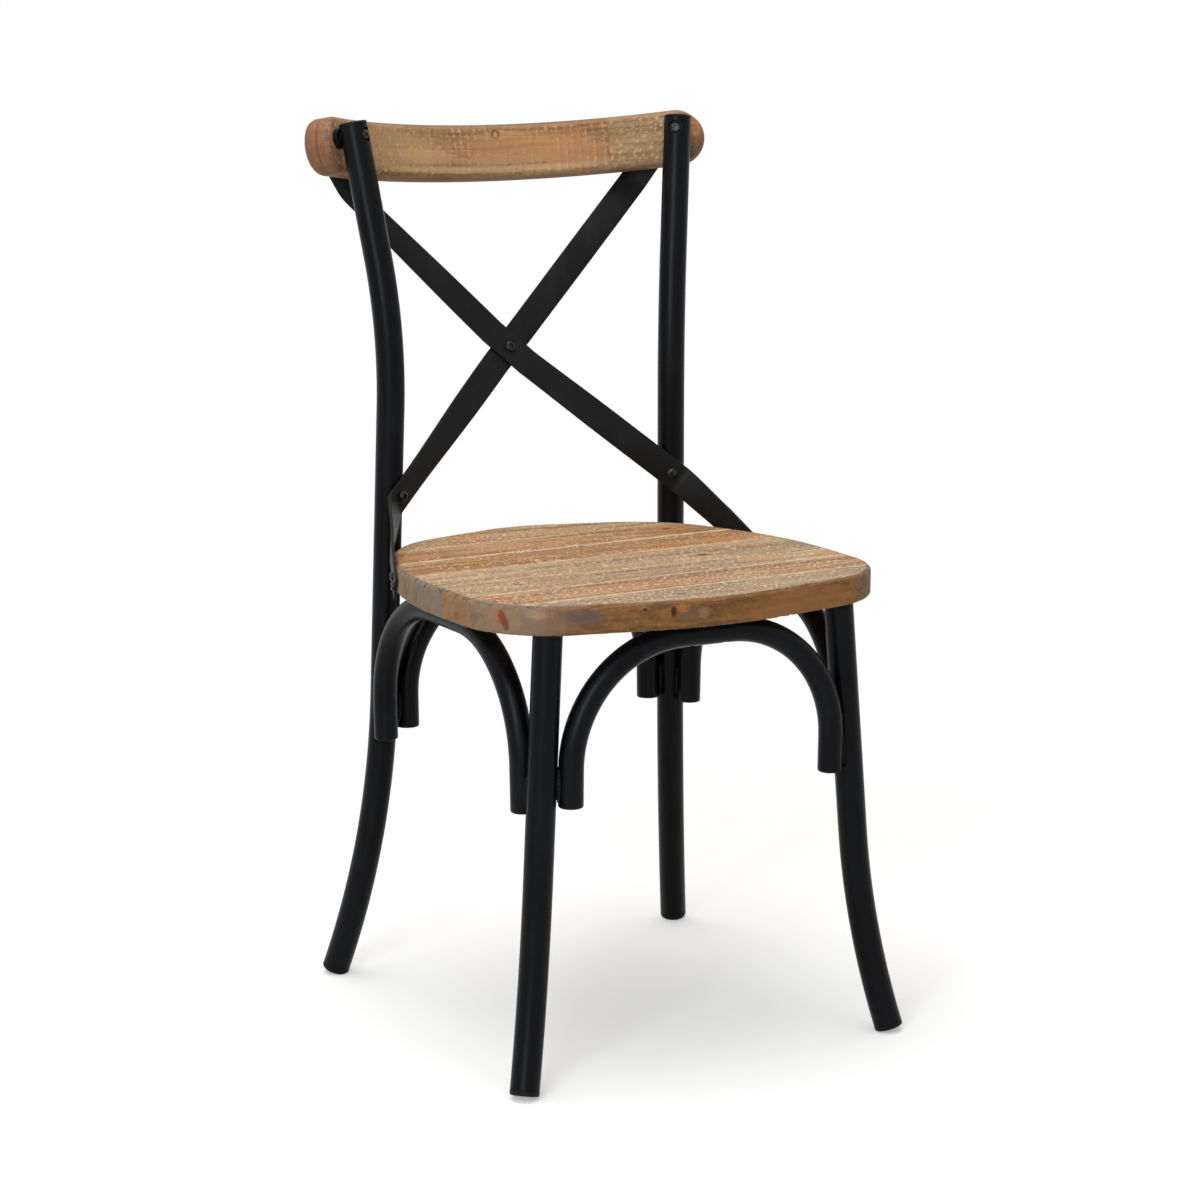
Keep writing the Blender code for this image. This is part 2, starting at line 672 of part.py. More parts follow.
class Strap:
    """A flat bar from the rail's back on one side to the seat's edge on the other."""

    def __init__(self, rail, side, layer):
        self.side = side
        cross_face = Vector((0.0, -math.cos(CROSS_LEAN), math.sin(CROSS_LEAN)))
        cross = Vector((0.0, CROSS_Y, CROSS_Z)) + cross_face * layer * (STRAP_THICKNESS + GAP) / 2
        fall = Vector((-side * math.sin(CROSS_SLANT), -math.cos(CROSS_SLANT) * math.sin(CROSS_LEAN),
                       -math.cos(CROSS_SLANT) * math.cos(CROSS_LEAN)))
        above = cross - fall * CROSS_FLAT
        below = cross + fall * CROSS_FLAT
        at_rail, rail_face = rail_contact(rail, side)
        at_post, post_face = post_contact(-side, below)
        at_seat, seat_face = seat_contact(-side)
        down = (at_post - below).normalized()
        knee = at_post + down * STRAP_KNEE_RUN
        along_seat = at_seat - knee
        along_seat = (along_seat - seat_face * along_seat.dot(seat_face)).normalized()
        ankle = at_seat - along_seat * STRAP_SEAT_RUN
        knee_reach = STRAP_KNEE_BEND * math.tan(down.angle(ankle - knee) / 2)
        tail = at_seat + along_seat * STRAP_SEAT_TAIL
        climb = (at_rail - above).normalized()
        along_rail = (climb - rail_face * climb.dot(rail_face)).normalized()
        shoulder = at_rail - along_rail * STRAP_RAIL_RUN
        head = at_rail + along_rail * STRAP_RAIL_TAIL
        corners = [head, shoulder, above, below, knee, ankle, tail]
        radii = [STRAP_RAIL_BEND, CROSS_BEND, CROSS_BEND, STRAP_KNEE_BEND, STRAP_KNEE_BEND]
        self.line = filleted(corners, radii, STRAP_BEND_STEP)
        self.marks = [(head, rail_face), (shoulder, rail_face), (above, cross_face), (below, cross_face),
                      (at_post - down * STRAP_WIDTH / 2, post_face), (knee - down * knee_reach, post_face),
                      (ankle, seat_face), (tail, seat_face)]
        self.faces = {"rail": rail_face, "cross": cross_face, "post": post_face, "seat": seat_face}
        self.spots = {"rail": at_rail, "cross": cross, "post": at_post, "seat": at_seat}
        self.screw_runs = {"rail": along_rail * STRAP_RAIL_SCREWS, "seat": along_seat * STRAP_SEAT_SCREWS}

    def face_at(self, point):
        """The direction that the strap's front face looks in, blended between the marks."""
        best = None
        for (a, face_a), (b, face_b) in zip(self.marks, self.marks[1:]):
            run = b - a
            share = min(1.0, max(0.0, (point - a).dot(run) / run.length_squared))
            off = (a + run * share - point).length
            if best is None or off < best[0]:
                eased = share * share * (3.0 - 2.0 * share)
                best = (off, face_a.lerp(face_b, eased).normalized())
        return best[1]

    def sections(self):
        """Four corners of the bar's section at each point of its line."""
        line = []
        for a, b in zip(self.line, self.line[1:]):
            steps = max(1, round((b - a).length / STRAP_STEP))
            line += [a.lerp(b, i / steps) for i in range(steps)]
        line.append(self.line[-1])
        rows = []
        for i, point in enumerate(line):
            way = (line[min(i + 1, len(line) - 1)] - line[max(i - 1, 0)]).normalized()
            face = self.face_at(point)
            face = (face - way * face.dot(way)).normalized()
            across = way.cross(face) * STRAP_WIDTH / 2
            face = face * STRAP_THICKNESS / 2
            rows.append([point + across + face, point + across - face, point - across - face, point - across + face])
        return rows


def make_strap(name, strap):
    """The strap's section, lofted along its line."""
    work = bmesh.new()
    rings = [[work.verts.new(corner) for corner in row] for row in strap.sections()]
    for a, b in zip(rings, rings[1:]):
        for i in range(4):
            work.faces.new((a[i], a[(i + 1) % 4], b[(i + 1) % 4], b[i]))
    work.faces.new(rings[0])
    work.faces.new(rings[-1])
    bmesh.ops.recalc_face_normals(work, faces=work.faces)
    mesh = bpy.data.meshes.new(name)
    work.to_mesh(mesh)
    work.free()
    return add_part(name, mesh, STEEL, sharp=STRAP_SHARP)


def screw_places(strap, end):
    """Frames for the two screws at a strap's end, on the face that shows."""
    face = -strap.faces[end]
    for letter, way in (("a", -0.5), ("b", 0.5)):
        spot = strap.spots[end] + strap.screw_runs[end] * way
        yield letter, spot, frame_along(spot + face * (STRAP_THICKNESS / 2 + GAP), face)


def fit_strap(name, bar, strap, posts, word, other):
    """Holes in a strap and in what it is fixed to, with the screws and the post's bolt."""
    for end, place_word in (("rail", word), ("seat", other)):
        face = strap.faces[end]
        for letter, spot, place in screw_places(strap, end):
            length = STRAP_THICKNESS + 2 * GAP + SCREW_BITE
            fastener("%s_screw_%s_%s" % (end, place_word, letter), place, SCREW_RADIUS, length, SCREW_HEAD_RADIUS,
                     SCREW_HEAD_HEIGHT, SCREW_RECESS, SCREW_TIP)
            inward = frame_along(spot - face * (STRAP_THICKNESS / 2 + GAP), face)
            drill(bar, "%s_%s_hole_%s" % (name, end, letter), inward, screw_hole, STRAP_THICKNESS + 2 * GAP)
            if end == "rail":
                rail_holes.append((inward, screw_hole, length + GAP))
            else:
                seat_holes.append((inward, length + GAP))
    face = strap.faces["post"]
    place = frame_along(strap.spots["post"] + face * (STRAP_THICKNESS / 2 + GAP), face)
    fastener("strap_bolt_" + other, place, BOLT_RADIUS, BOLT_GRIP, BOLT_HEAD_RADIUS, BOLT_HEAD_HEIGHT, BOLT_SOCKET)
    inward = frame_along(strap.spots["post"] + face * (STRAP_THICKNESS / 2 + GAP), -face)
    drill(bar, name + "_post_hole", inward, bolt_hole, BOLT_GRIP + GAP)
    drill(posts[other], "post_strap_hole_" + other, inward, bolt_hole, BOLT_GRIP + GAP)


def make_straps(rail, posts):
    """The two crossed straps: the one from the right of the rail passes in front."""
    front = Strap(rail, SIDES["right"], 1)
    rear = Strap(rail, SIDES["left"], -1)
    bars = []
    for name, strap, word, other in (("strap_front", front, "right", "left"), ("strap_rear", rear, "left", "right")):
        bar = make_strap(name, strap)
        fit_strap(name, bar, strap, posts, word, other)
        bars.append(bar)
    face = front.faces["cross"]
    start = front.spots["cross"] + face * (STRAP_THICKNESS / 2 + GAP)
    stack = 2 * STRAP_THICKNESS + 3 * GAP
    fastener("cross_bolt", frame_along(start, face), BOLT_RADIUS, stack + NUT_HEIGHT + BOLT_HEAD_HEIGHT / 2,
             BOLT_HEAD_RADIUS, BOLT_HEAD_HEIGHT, BOLT_SOCKET)
    for bar in bars:
        drill(bar, bar.name + "_cross_hole", frame_along(start, -face), bolt_hole, stack)
    nut = add_part("cross_nut", cylinder_mesh("cross_nut", NUT_RADIUS, NUT_HEIGHT, HEX), BOLT_STEEL,
                   frame_along(start - face * stack, -face))
    drill(nut, "cross_nut_bore", frame_along(start, -face), bolt_hole, 2 * stack + NUT_HEIGHT)


def make_rail_fixings(rail, posts):
    """Each post's bushing and bolt, square to the rail's front face."""
    for word, side in SIDES.items():
        axis = post_centre(side, RAIL_BOLT_Z)
        back = rail.outward(side * rail.bolt_angle)
        front_face = LEG_RADIUS - BUSHING_RECESS
        flange = LEG_RADIUS + GAP
        barrel = [(bolt_hole, -front_face), (BUSHING_RADIUS, -front_face), (BUSHING_RADIUS, flange),
                  (BUSHING_FLANGE_RADIUS, flange), (BUSHING_FLANGE_RADIUS, flange + BUSHING_FLANGE),
                  (bolt_hole, flange + BUSHING_FLANGE)]
        turned("rail_bushing_" + word, barrel, frame_along(axis, back), STEEL, FASTENER_STEPS, closed=True)
        head = frame_along(axis - back * (front_face + GAP), -back)
        grip = front_face + flange + BUSHING_FLANGE + 2 * GAP
        fastener("rail_bolt_" + word, head, BOLT_RADIUS, grip + RAIL_BOLT_DEPTH, BOLT_HEAD_RADIUS, BOLT_HEAD_HEIGHT,
                 BOLT_SOCKET)
        through = frame_along(axis - back * 2 * LEG_RADIUS, back)
        drill(posts[word], "post_rail_hole_" + word, through, bushing_hole, 4 * LEG_RADIUS)
        rail_holes.append((frame_along(axis + back * LEG_RADIUS, back), bolt_hole,
                           BUSHING_FLANGE + RAIL_BOLT_DEPTH + 3 * GAP))


clear_scene()
chair = collection("bistro_chair")
cutters = collection("cutters")
seat_holes = []
rail_holes = []
ground = (SEAT_SIDE_X + SEAT_CORNER_RADIUS) * 2
floor_cutter = add_cutter("floor", box_mesh("floor", (-ground, -ground, -SEAT_THICKNESS), (ground, ground, 0.0)))
rear_posts = {}
for side_word, side_sign in SIDES.items():
    make_front_leg(side_word, side_sign)
    rear_posts[side_word] = make_rear_post(side_word, side_sign)
make_arches()
rail_frame = RailFrame()
make_rail_fixings(rail_frame, rear_posts)
make_straps(rail_frame, rear_posts)
make_rail(rail_frame)
make_seat()
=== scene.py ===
"""Looks for the bistro chair: powder-coated tubes and straps, fasteners, weld beads and sawn wooden boards.

Metres, Z up. The chair faces -Y, and left and right are the sitter's own, so left is +X.
"""

import math

import bmesh
import bpy
from mathutils import Matrix, Vector, noise


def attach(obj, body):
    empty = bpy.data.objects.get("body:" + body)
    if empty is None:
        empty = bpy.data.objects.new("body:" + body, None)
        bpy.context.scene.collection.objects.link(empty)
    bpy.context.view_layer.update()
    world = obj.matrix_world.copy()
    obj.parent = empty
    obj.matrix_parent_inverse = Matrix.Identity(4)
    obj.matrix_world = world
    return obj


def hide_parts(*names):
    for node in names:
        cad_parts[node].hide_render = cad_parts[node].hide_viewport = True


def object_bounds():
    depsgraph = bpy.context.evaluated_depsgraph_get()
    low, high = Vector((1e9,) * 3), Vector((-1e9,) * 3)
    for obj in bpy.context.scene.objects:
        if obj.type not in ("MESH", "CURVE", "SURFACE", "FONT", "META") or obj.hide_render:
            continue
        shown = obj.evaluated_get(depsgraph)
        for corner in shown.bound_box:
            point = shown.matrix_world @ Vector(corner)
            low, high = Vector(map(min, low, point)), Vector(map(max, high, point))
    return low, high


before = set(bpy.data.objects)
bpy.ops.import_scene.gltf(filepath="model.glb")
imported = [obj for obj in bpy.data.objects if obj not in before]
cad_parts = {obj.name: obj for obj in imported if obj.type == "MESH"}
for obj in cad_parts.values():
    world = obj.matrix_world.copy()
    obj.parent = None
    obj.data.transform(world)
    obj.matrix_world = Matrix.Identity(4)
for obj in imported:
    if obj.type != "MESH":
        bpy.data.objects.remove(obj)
cad_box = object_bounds()

UP = Vector((0.0, 0.0, 1.0))
ACROSS = Vector((1.0, 0.0, 0.0))
FRONT = Vector((0.0, -1.0, 0.0))
SIDES = {"left": 1, "right": -1}
GAP = 0.0003

# Seat: each corner of its outline's right half is (x, y, radius)
SEAT_TOP = 0.457
SEAT_THICKNESS = 0.028
SEAT_EDGE_RADIUS = 0.0035
SEAT_OUTLINE = ((0.0, 0.1765, 0.136), (0.1555, 0.1305, 0.118), (0.2210, -0.0120, 0.358),
                (0.2140, -0.2240, 0.0935), (0.0, -0.2705, 0.346))
SEAT_JOINTS_Y = (-0.204, -0.147, -0.1025, -0.029, 0.034, 0.097)
SEAT_JOINT_SKEW = math.radians(3.2)

# Legs and posts, as they cross the seat's underside and bend below and above it
LEG_RADIUS = 0.014
LEG_WALL = 0.0015
LEG_X = 0.1574
LEG_Y = -0.2094
LEG_LEAN_X = 0.066
LEG_LEAN_Y = 0.036
LEG_SPLAY_X = 0.163
LEG_SPLAY_Y = 0.198
LEG_SPLAY_HEIGHT = 0.202
POST_X = 0.1644
POST_Y = 0.1272
POST_LEAN_X = 0.0225
POST_LEAN_Y = 0.036
POST_SPLAY_X = 0.197
POST_SPLAY_Y = 0.287
POST_SPLAY_HEIGHT = 0.303
POST_FLARE_X = 0.145
POST_FLARE_Y = 0.193
POST_FLARE_START = 0.596
POST_FLARE_RUN = 0.1515
POST_LAND = 0.0036
POST_CAP_HEAD = 0.0025
POST_CAP_STEM = 0.0024
PLUG_HEAD = 0.0035
PLUG_RIM = 0.0018
PLUG_STEM = 0.012
PLUG_BREAK = 0.0006
PLUG_STEP = 0.0002
PLUG_CROWN = 0.0005
GLIDE_HEAD = 0.005
GLIDE_WORN = 0.0008

# Arches under the seat, and the weld beads at their feet
ARCH_RADIUS = 0.012
ARCH_RIM = 0.0018
ARCH_END_SHARE = 0.12
ARCH_BEND = 0.1155
ARCH_LEAN = 0.02
FRONT_ARCH_END = 0.2655
REAR_ARCH_END = 0.267
SIDE_ARCH_FRONT_END = 0.257
SIDE_ARCH_REAR_END = 0.2635
FRONT_ARCH_TURN = math.radians(22)
REAR_ARCH_TURN = math.radians(4)
SIDE_ARCH_FRONT_TURN = math.radians(18)
SIDE_ARCH_REAR_TURN = math.radians(22)
ARCH_SCREW_INSET = 0.008
ARCH_SCREW_ACCESS = 0.0058
BEAD_RADIUS = 0.0027
BEAD_START = 0.006
BEAD_LENGTH = 0.031
BEAD_ASIDE = 0.0058
BEAD_STEPS = 26
BEAD_LUMP_SIZE = 0.002
BEAD_LUMP_HEIGHT = 0.00018

# Top rail
RAIL_HEIGHT = 0.057
RAIL_THICKNESS = 0.028
RAIL_RADIUS = 0.313
RAIL_HALF_LENGTH = 0.2415
RAIL_EDGE_RADIUS = 0.006
RAIL_LEAN = math.radians(12.3)
RAIL_BOLT_Z = 0.8636
RAIL_BOLT_DROP = 0.0240
RAIL_JOINT_X = 0.131
RAIL_STRIPS = 22

# Crossed straps
STRAP_WIDTH = 0.0288
STRAP_THICKNESS = 0.003
STRAP_EDGE_RADIUS = 0.0008
STRAP_STEP = 0.006
CROSS = Vector((0.0, 0.1785, 0.643))
CROSS_LEAN = math.radians(17.5)
CROSS_SLANT = math.radians(46)
CROSS_FLAT = 0.024
CROSS_BEND = 0.043
STRAP_POST_Z = 0.5101
STRAP_KNEE_RUN = 0.0129
STRAP_KNEE_BEND = 0.019
STRAP_SEAT_Y = 0.0264
STRAP_SEAT_DROP = 0.0165
STRAP_SEAT_RUN = 0.043
STRAP_SEAT_TAIL = 0.0125
STRAP_RAIL_X = 0.182
STRAP_RAIL_RISE = 0.017
STRAP_RAIL_RUN = 0.033
STRAP_RAIL_BEND = 0.047
STRAP_RAIL_TAIL = 0.011
STRAP_RAIL_SCREWS = 0.014
STRAP_SEAT_SCREWS = 0.013

# Fasteners: a head is (radius, height, depth of its socket)
BOLT_HEAD = (0.0056, 0.0034, 0.0022)
BOLT_RADIUS = 0.003
BOLT_GRIP = 0.010
RAIL_BOLT_DEPTH = 0.022
SCREW_HEAD = (0.0045, 0.0024, 0.0016)
SCREW_RADIUS = 0.0021
SCREW_TIP = 0.003
SCREW_BITE = 0.017
HEAD_BREAK = 0.0002
HEAD_RIM_SHARE = 0.30
SOCKET_SHARE = 0.44
SOCKET_CROWN_SHARE = 1.15
SOCKET_RIM_SHARE = 1.12
SOCKET_FLOOR_SHARE = 0.86
BUSHING_RADIUS = 0.0068
BUSHING_FLANGE_RADIUS = 0.0105
BUSHING_FLANGE = 0.005
BUSHING_RECESS = 0.0045
NUT_HEIGHT = 0.005

# Boards: the painted highlight of a joint's eased edge lies a little beside the joint
PLATE_RIM_INSET = 0.004
OUTLINE_STEP = 0.003
SAW_PITCH = 0.0088
JOINT_HIGHLIGHT_OFFSET = 0.0012

# The angles, in degrees, from which an edge is drawn sharp
SHARP = 40
WOOD_SHARP = 38
STRAP_SHARP = 50
BOLT_SHARP = 32

seat_underside = SEAT_TOP - SEAT_THICKNESS
post_end_z = RAIL_BOLT_Z + BUSHING_RADIUS + GAP + POST_LAND
arch_axis_z = seat_underside - GAP - ARCH_RADIUS


def ramp(distance, run):
    if distance <= 0.0:
        return 0.0
    if distance < run:
        return distance * distance / (2 * run)
    return distance - run / 2


def leg_centre(side, z):
    drop = seat_underside - z
    splay = ramp(LEG_SPLAY_HEIGHT - z, LEG_SPLAY_HEIGHT)
    x = LEG_X + LEG_LEAN_X * drop + LEG_SPLAY_X * splay
    y = LEG_Y - LEG_LEAN_Y * drop - LEG_SPLAY_Y * splay
    return Vector((side * x, y, z))


def post_centre(side, z):
    drop = seat_underside - z
    splay = ramp(POST_SPLAY_HEIGHT - z, POST_SPLAY_HEIGHT)
    flare = ramp(z - POST_FLARE_START, POST_FLARE_RUN)
    x = POST_X + POST_LEAN_X * drop + POST_SPLAY_X * splay + POST_FLARE_X * flare
    y = POST_Y + POST_LEAN_Y * drop + POST_SPLAY_Y * splay + POST_FLARE_Y * flare
    return Vector((side * x, y, z))


def spaced(start, end, steps):
    return [start + (end - start) * i / steps for i in range(steps)]


def filleted(corners, radii, step):
    """A line through corners, each but the first and last rounded by its own radius."""
    points = [corners[0]]
    for before, corner, after, radius in zip(corners, corners[1:], corners[2:], radii):
        arrive = (corner - before).normalized()
        leave = (after - corner).normalized()
        turn = arrive.angle(leave)
        centre = corner + (leave - arrive).normalized() * radius / math.cos(turn / 2)
        start = corner - arrive * (radius * math.tan(turn / 2)) - centre
        axis = arrive.cross(leave).normalized()
        count = max(2, round(turn / step))
        points += [centre + Matrix.Rotation(turn * i / count, 3, axis) @ start for i in range(count + 1)]
    return points + [corners[-1]]


def frame_along(point, axis):
    return Matrix.LocRotScale(Vector(point), Vector(axis).to_track_quat("Z", "Y"), None)


# Meshes

def linked(name, data):
    made = bpy.data.objects.new(name, data)
    bpy.context.scene.collection.objects.link(made)
    return made


def smooth(mesh, sharp=SHARP):
    mesh.shade_smooth()
    mesh.set_sharp_from_angle(angle=math.radians(sharp))


def finished(work, name):
    bmesh.ops.recalc_face_normals(work, faces=work.faces)
    mesh = bpy.data.meshes.new(name)
    work.to_mesh(mesh)
    work.free()
    return mesh


def finish_piece(name, work, material, nodes, sharp=SHARP):
    """Put a mesh in the scene as a piece that rides on the chair and stands for CAD nodes."""
    piece = linked(name, finished(work, name))
    piece.data.materials.append(material)
    smooth(piece.data, sharp)
    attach(piece, "root")
    if nodes:
        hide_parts(*nodes)
    return piece


def skin(work, a, b):
    """Faces between two closed rows of points."""
    for k in range(len(a)):
        after = (k + 1) % len(a)
        work.faces.new((a[k], a[after], b[after], b[k]))


def centre_of(ring):
    return sum((v.co for v in ring), Vector()) / len(ring)


def way_at(points, i):
    return (points[min(i + 1, len(points) - 1)] - points[max(i - 1, 0)]).normalized()


def swept(points, radius, sides=32):
    """A round bar along points: rings carried along without twist, its ends left open.

    The radius is a number, or works one out from a ring's number and an angle round it.
    """
    work = bmesh.new()
    rings = []
    across = (points[1] - points[0]).orthogonal().normalized()
    for i, point in enumerate(points):
        way = way_at(points, i)
        across = (across - way * across.dot(way)).normalized()
        other = way.cross(across)
        ring = []
        for angle in spaced(0.0, 2 * math.pi, sides):
            reach = radius(i, angle) if callable(radius) else radius
            ring.append(work.verts.new(point + (across * math.cos(angle) + other * math.sin(angle)) * reach))
        rings.append(ring)
    for a, b in zip(rings, rings[1:]):
        skin(work, a, b)
    return work, rings


def close_ends(work, rings, rim, arcs=3):
    """Round over both ends of a swept bar by rim, and fill them."""
    for ring, inner in ((rings[0], rings[1]), (rings[-1], rings[-2])):
        centre = centre_of(ring)
        outward = (centre - centre_of(inner)).normalized()
        base = [v.co.copy() for v in ring]
        for v in ring:
            v.co -= outward * rim
        last = ring
        for step in range(1, arcs + 1):
            angle = math.pi / 2 * step / arcs
            inset = rim * (1 - math.cos(angle))
            drop = rim * (1 - math.sin(angle))
            row = [work.verts.new(spot - (spot - centre).normalized() * inset - outward * drop)
                   for spot in base]
            skin(work, last, row)
            last = row
        work.faces.new(last)


def open_tube(name, points, material, nodes):
    """A leg's tube with a bore, its walls closed at both ends."""
    work, outer = swept(points, LEG_RADIUS)
    inner = []
    for ring in outer:
        centre = centre_of(ring)
        inner.append([work.verts.new(centre + (v.co - centre) * (1 - LEG_WALL / LEG_RADIUS)) for v in ring])
    for a, b in zip(inner, inner[1:]):
        skin(work, b, a)
    for end in (0, -1):
        skin(work, inner[end], outer[end])
    return finish_piece(name, work, material, nodes)


def lathe(profile, place, steps=32):
    """A turned solid from (radius, height) points, from the bottom up, that starts and ends on its axis."""
    work = bmesh.new()
    rings = []
    for radius, height in profile:
        angles = spaced(0.0, 2 * math.pi, steps) if radius > 0.0 else [0.0]
        spots = [Vector((radius * math.cos(angle), radius * math.sin(angle), height)) for angle in angles]
        rings.append([work.verts.new(place @ spot) for spot in spots])
    for a, b in zip(rings, rings[1:]):
        for k in range(steps):
            after = (k + 1) % steps
            corners = [a[k % len(a)], a[after % len(a)], b[after % len(b)], b[k % len(b)]]
            unique = list(dict.fromkeys(corners))
            if len(unique) > 2:
                work.faces.new(unique)
    return work


def arc_points(radius, height, rim, steps=4):
    """A quarter round from the side of a disc to its top."""
    angles = [math.pi / 2 * i / steps for i in range(steps + 1)]
    return [(radius - rim + rim * math.cos(angle), height - rim + rim * math.sin(angle)) for angle in angles]


def plug(name, line, head, stem, crown=0.0, floor=False):
    """A moulded end cap with a thin parting step at its rim.

    Its head is crowned, or hollowed in the middle and worn flat by the floor.
    """
    bore = LEG_RADIUS - LEG_WALL - GAP
    top = GAP + head
    profile = [(0.0, -stem), (bore - PLUG_BREAK, -stem), (bore, -stem + PLUG_BREAK), (bore, GAP),
               (LEG_RADIUS - PLUG_STEP, GAP), (LEG_RADIUS, GAP + PLUG_STEP)]
    profile += arc_points(LEG_RADIUS, top, PLUG_RIM, 5)
    if floor:
        profile += [(LEG_RADIUS * 0.55, top - PLUG_CROWN / 5), (LEG_RADIUS * 0.5, top - PLUG_CROWN)]
        profile.append((0.0, top - PLUG_CROWN))
    else:
        profile += [(LEG_RADIUS * 0.6, top + crown * 0.7), (LEG_RADIUS * 0.3, top + crown)]
        profile.append((0.0, top + crown))
    work = lathe(profile, frame_along(line[0], line[0] - line[1]))
    if floor:
        for v in work.verts:
            v.co.z = max(v.co.z, 0.0)
    finish_piece(name + "_moulded", work, plastic, [name])


def fastener(name, place, radius, length, head, tip=0.0004):
    """A button-headed screw or bolt with a hexagon socket; Z points out of the head."""
    head_radius, head_height, socket = head
    hexagon = head_radius * SOCKET_SHARE
    profile = [(0.0, -length), (radius, -length + tip), (radius, 0.0), (head_radius - HEAD_BREAK, 0.0),
               (head_radius, HEAD_BREAK), (head_radius, head_height * HEAD_RIM_SHARE)]
    for angle in spaced(0.0, math.pi / 2, 6)[1:]:
        inset = (head_radius - hexagon * SOCKET_CROWN_SHARE) * (1 - math.cos(angle))
        rise = HEAD_RIM_SHARE + (1.0 - HEAD_RIM_SHARE) * math.sin(angle)
        profile.append((head_radius - inset, head_height * rise))
    profile.append((hexagon * SOCKET_RIM_SHARE, head_height))
    work = lathe(profile, place, 30)
    rim = [e for e in work.edges if e.is_boundary]
    inside = place.inverted()
    angles = {v: math.atan2((inside @ v.co).y, (inside @ v.co).x) for e in rim for v in e.verts}
    last = sorted(angles, key=angles.get)
    loop = [angles[v] for v in last]
    for depth, scale in ((0.0, 1.0), (socket, 1.0), (socket + GAP, SOCKET_FLOOR_SHARE)):
        row = []
        for angle in loop:
            share = math.cos(math.pi / 6) / math.cos((angle % (math.pi / 3)) - math.pi / 6)
            reach = hexagon * share * scale
            row.append(work.verts.new(place @ Vector((reach * math.cos(angle), reach * math.sin(angle),
                                                      head_height - depth))))
        skin(work, last, row)
        last = row
    work.faces.new(last)
    finish_piece(name + "_turned", work, bolt_steel, [name], BOLT_SHARP)


def drilled(piece, holes):
    """Cut round holes in a piece's mesh, each given by its lower end, its way, its length and its radius."""
    work = bmesh.new()
    for start, way, length, radius in holes:
        place = frame_along(start + way * length / 2, way)
        bmesh.ops.create_cone(work, cap_ends=True, segments=28, radius1=radius, radius2=radius, depth=length,
                              matrix=place)
    cutter = linked(piece.name + "_cutter", finished(work, piece.name + "_cutter"))
    cut = piece.modifiers.new("holes", "BOOLEAN")
    cut.operation = "DIFFERENCE"
    cut.solver = "EXACT"
    cut.object = cutter
    bpy.context.view_layer.update()
    shaped = bpy.data.meshes.new_from_object(piece.evaluated_get(bpy.context.evaluated_depsgraph_get()))
    piece.modifiers.clear()
    old = piece.data
    piece.data = shaped
    bpy.data.meshes.remove(old)
    bpy.data.objects.remove(cutter)
    shaped.name = piece.name
    smooth(shaped)


# Wooden plates

def ripple(point, size, depth):
    return depth * noise.noise(point / size)


def plate_work(outline, normals, low, high, radius, wear):
    """A plate in the XY plane with worn round edges. Keeps grain, end, rim and flank layers on its points."""
    work = bmesh.new()
    grain = work.verts.layers.float_vector.new("grain")
    end, rim, flank = (work.verts.layers.float.new(name) for name in ("end", "rim", "flank"))
    arcs = 6
    turns = [math.pi / 2 * i / arcs for i in range(arcs + 1)]
    inner_edge = -radius - PLATE_RIM_INSET
    levels = [(inner_edge, low, 0.0), (-radius, low, 0.3)]
    for t in turns[1:]:
        levels.append((radius * (math.sin(t) - 1), low + radius * (1 - math.cos(t)), math.sin(2 * t)))
    levels += [(0.0, low + (high - low) * share, 0.0) for share in (0.35, 0.5, 0.65)]
    for t in turns:
        levels.append((radius * (math.cos(t) - 1), high - radius * (1 - math.sin(t)), math.sin(2 * t)))
    levels.append((inner_edge, high, 0.0))
    rings = []
    for offset, height, amount in levels:
        upper = height > (low + high) / 2
        outer = offset > inner_edge
        ring = []
        for point, normal in zip(outline, normals):
            place = Vector((point[0] + normal[0] * offset, point[1] + normal[1] * offset, height))
            if outer:
                aside, down = wear(Vector((point[0], point[1], height)), amount, upper)
                place -= Vector((normal[0] * aside, normal[1] * aside, down if upper else -down))
            v = work.verts.new(place)
            v[end] = abs(normal[0]) if outer else 0.0
            v[rim] = amount if upper else 0.0
            v[flank] = min(1.0, 1.0 + offset / radius) if outer else 0.0
            ring.append(v)
        rings.append(ring)
    for a, b in zip(rings, rings[1:]):
        skin(work, a, b)
    work.faces.new(rings[0])
    work.faces.new(rings[-1])
    bmesh.ops.recalc_face_normals(work, faces=work.faces)
    for v in work.verts:
        v[grain] = v.co
    return work


def resampled(points, step):
    """Points about step apart round a closed outline, with outward normals."""
    closed = points + [points[0]]
    spots = []
    for a, b in zip(closed, closed[1:]):
        count = max(1, round((Vector(b) - Vector(a)).length / step))
        spots += [Vector(a).lerp(Vector(b), i / count) for i in range(count)]
    normals = []
    area = sum(a.x * b.y - b.x * a.y for a, b in zip(spots, spots[1:] + spots[:1]))
    for i, spot in enumerate(spots):
        way = (spots[(i + 1) % len(spots)] - spots[i - 1]).normalized()
        out = Vector((way.y, -way.x))
        normals.append(out if area > 0.0 else -out)
    return spots, normals


def cut_away(work, point, normal):
    """Keep the side of a plane that normal points away from, and close the cut."""
    everything = list(work.verts) + list(work.edges) + list(work.faces)
    cut = bmesh.ops.bisect_plane(work, geom=everything, plane_co=point, plane_no=normal, clear_outer=True,
                                 dist=1e-7)
    edges = [e for e in cut["geom_cut"] if isinstance(e, bmesh.types.BMEdge) and e.is_boundary]
    if edges:
        bmesh.ops.holes_fill(work, edges=edges, sides=0)


# Materials

WHITE = (1.0, 1.0, 1.0, 1.0)
# Pale colour of the painted highlight beside the seat's joints
JOINT_HIGHLIGHT = (0.76, 0.58, 0.37)
RUBBED = (0.235, 0.170, 0.118)
CHIPPED = (0.115, 0.095, 0.085)
PITH = (0.0, 0.013, 0.055)


def scaled(colour, factor, lift=0.0):
    return tuple(min(1.0, c * factor + lift) for c in colour)


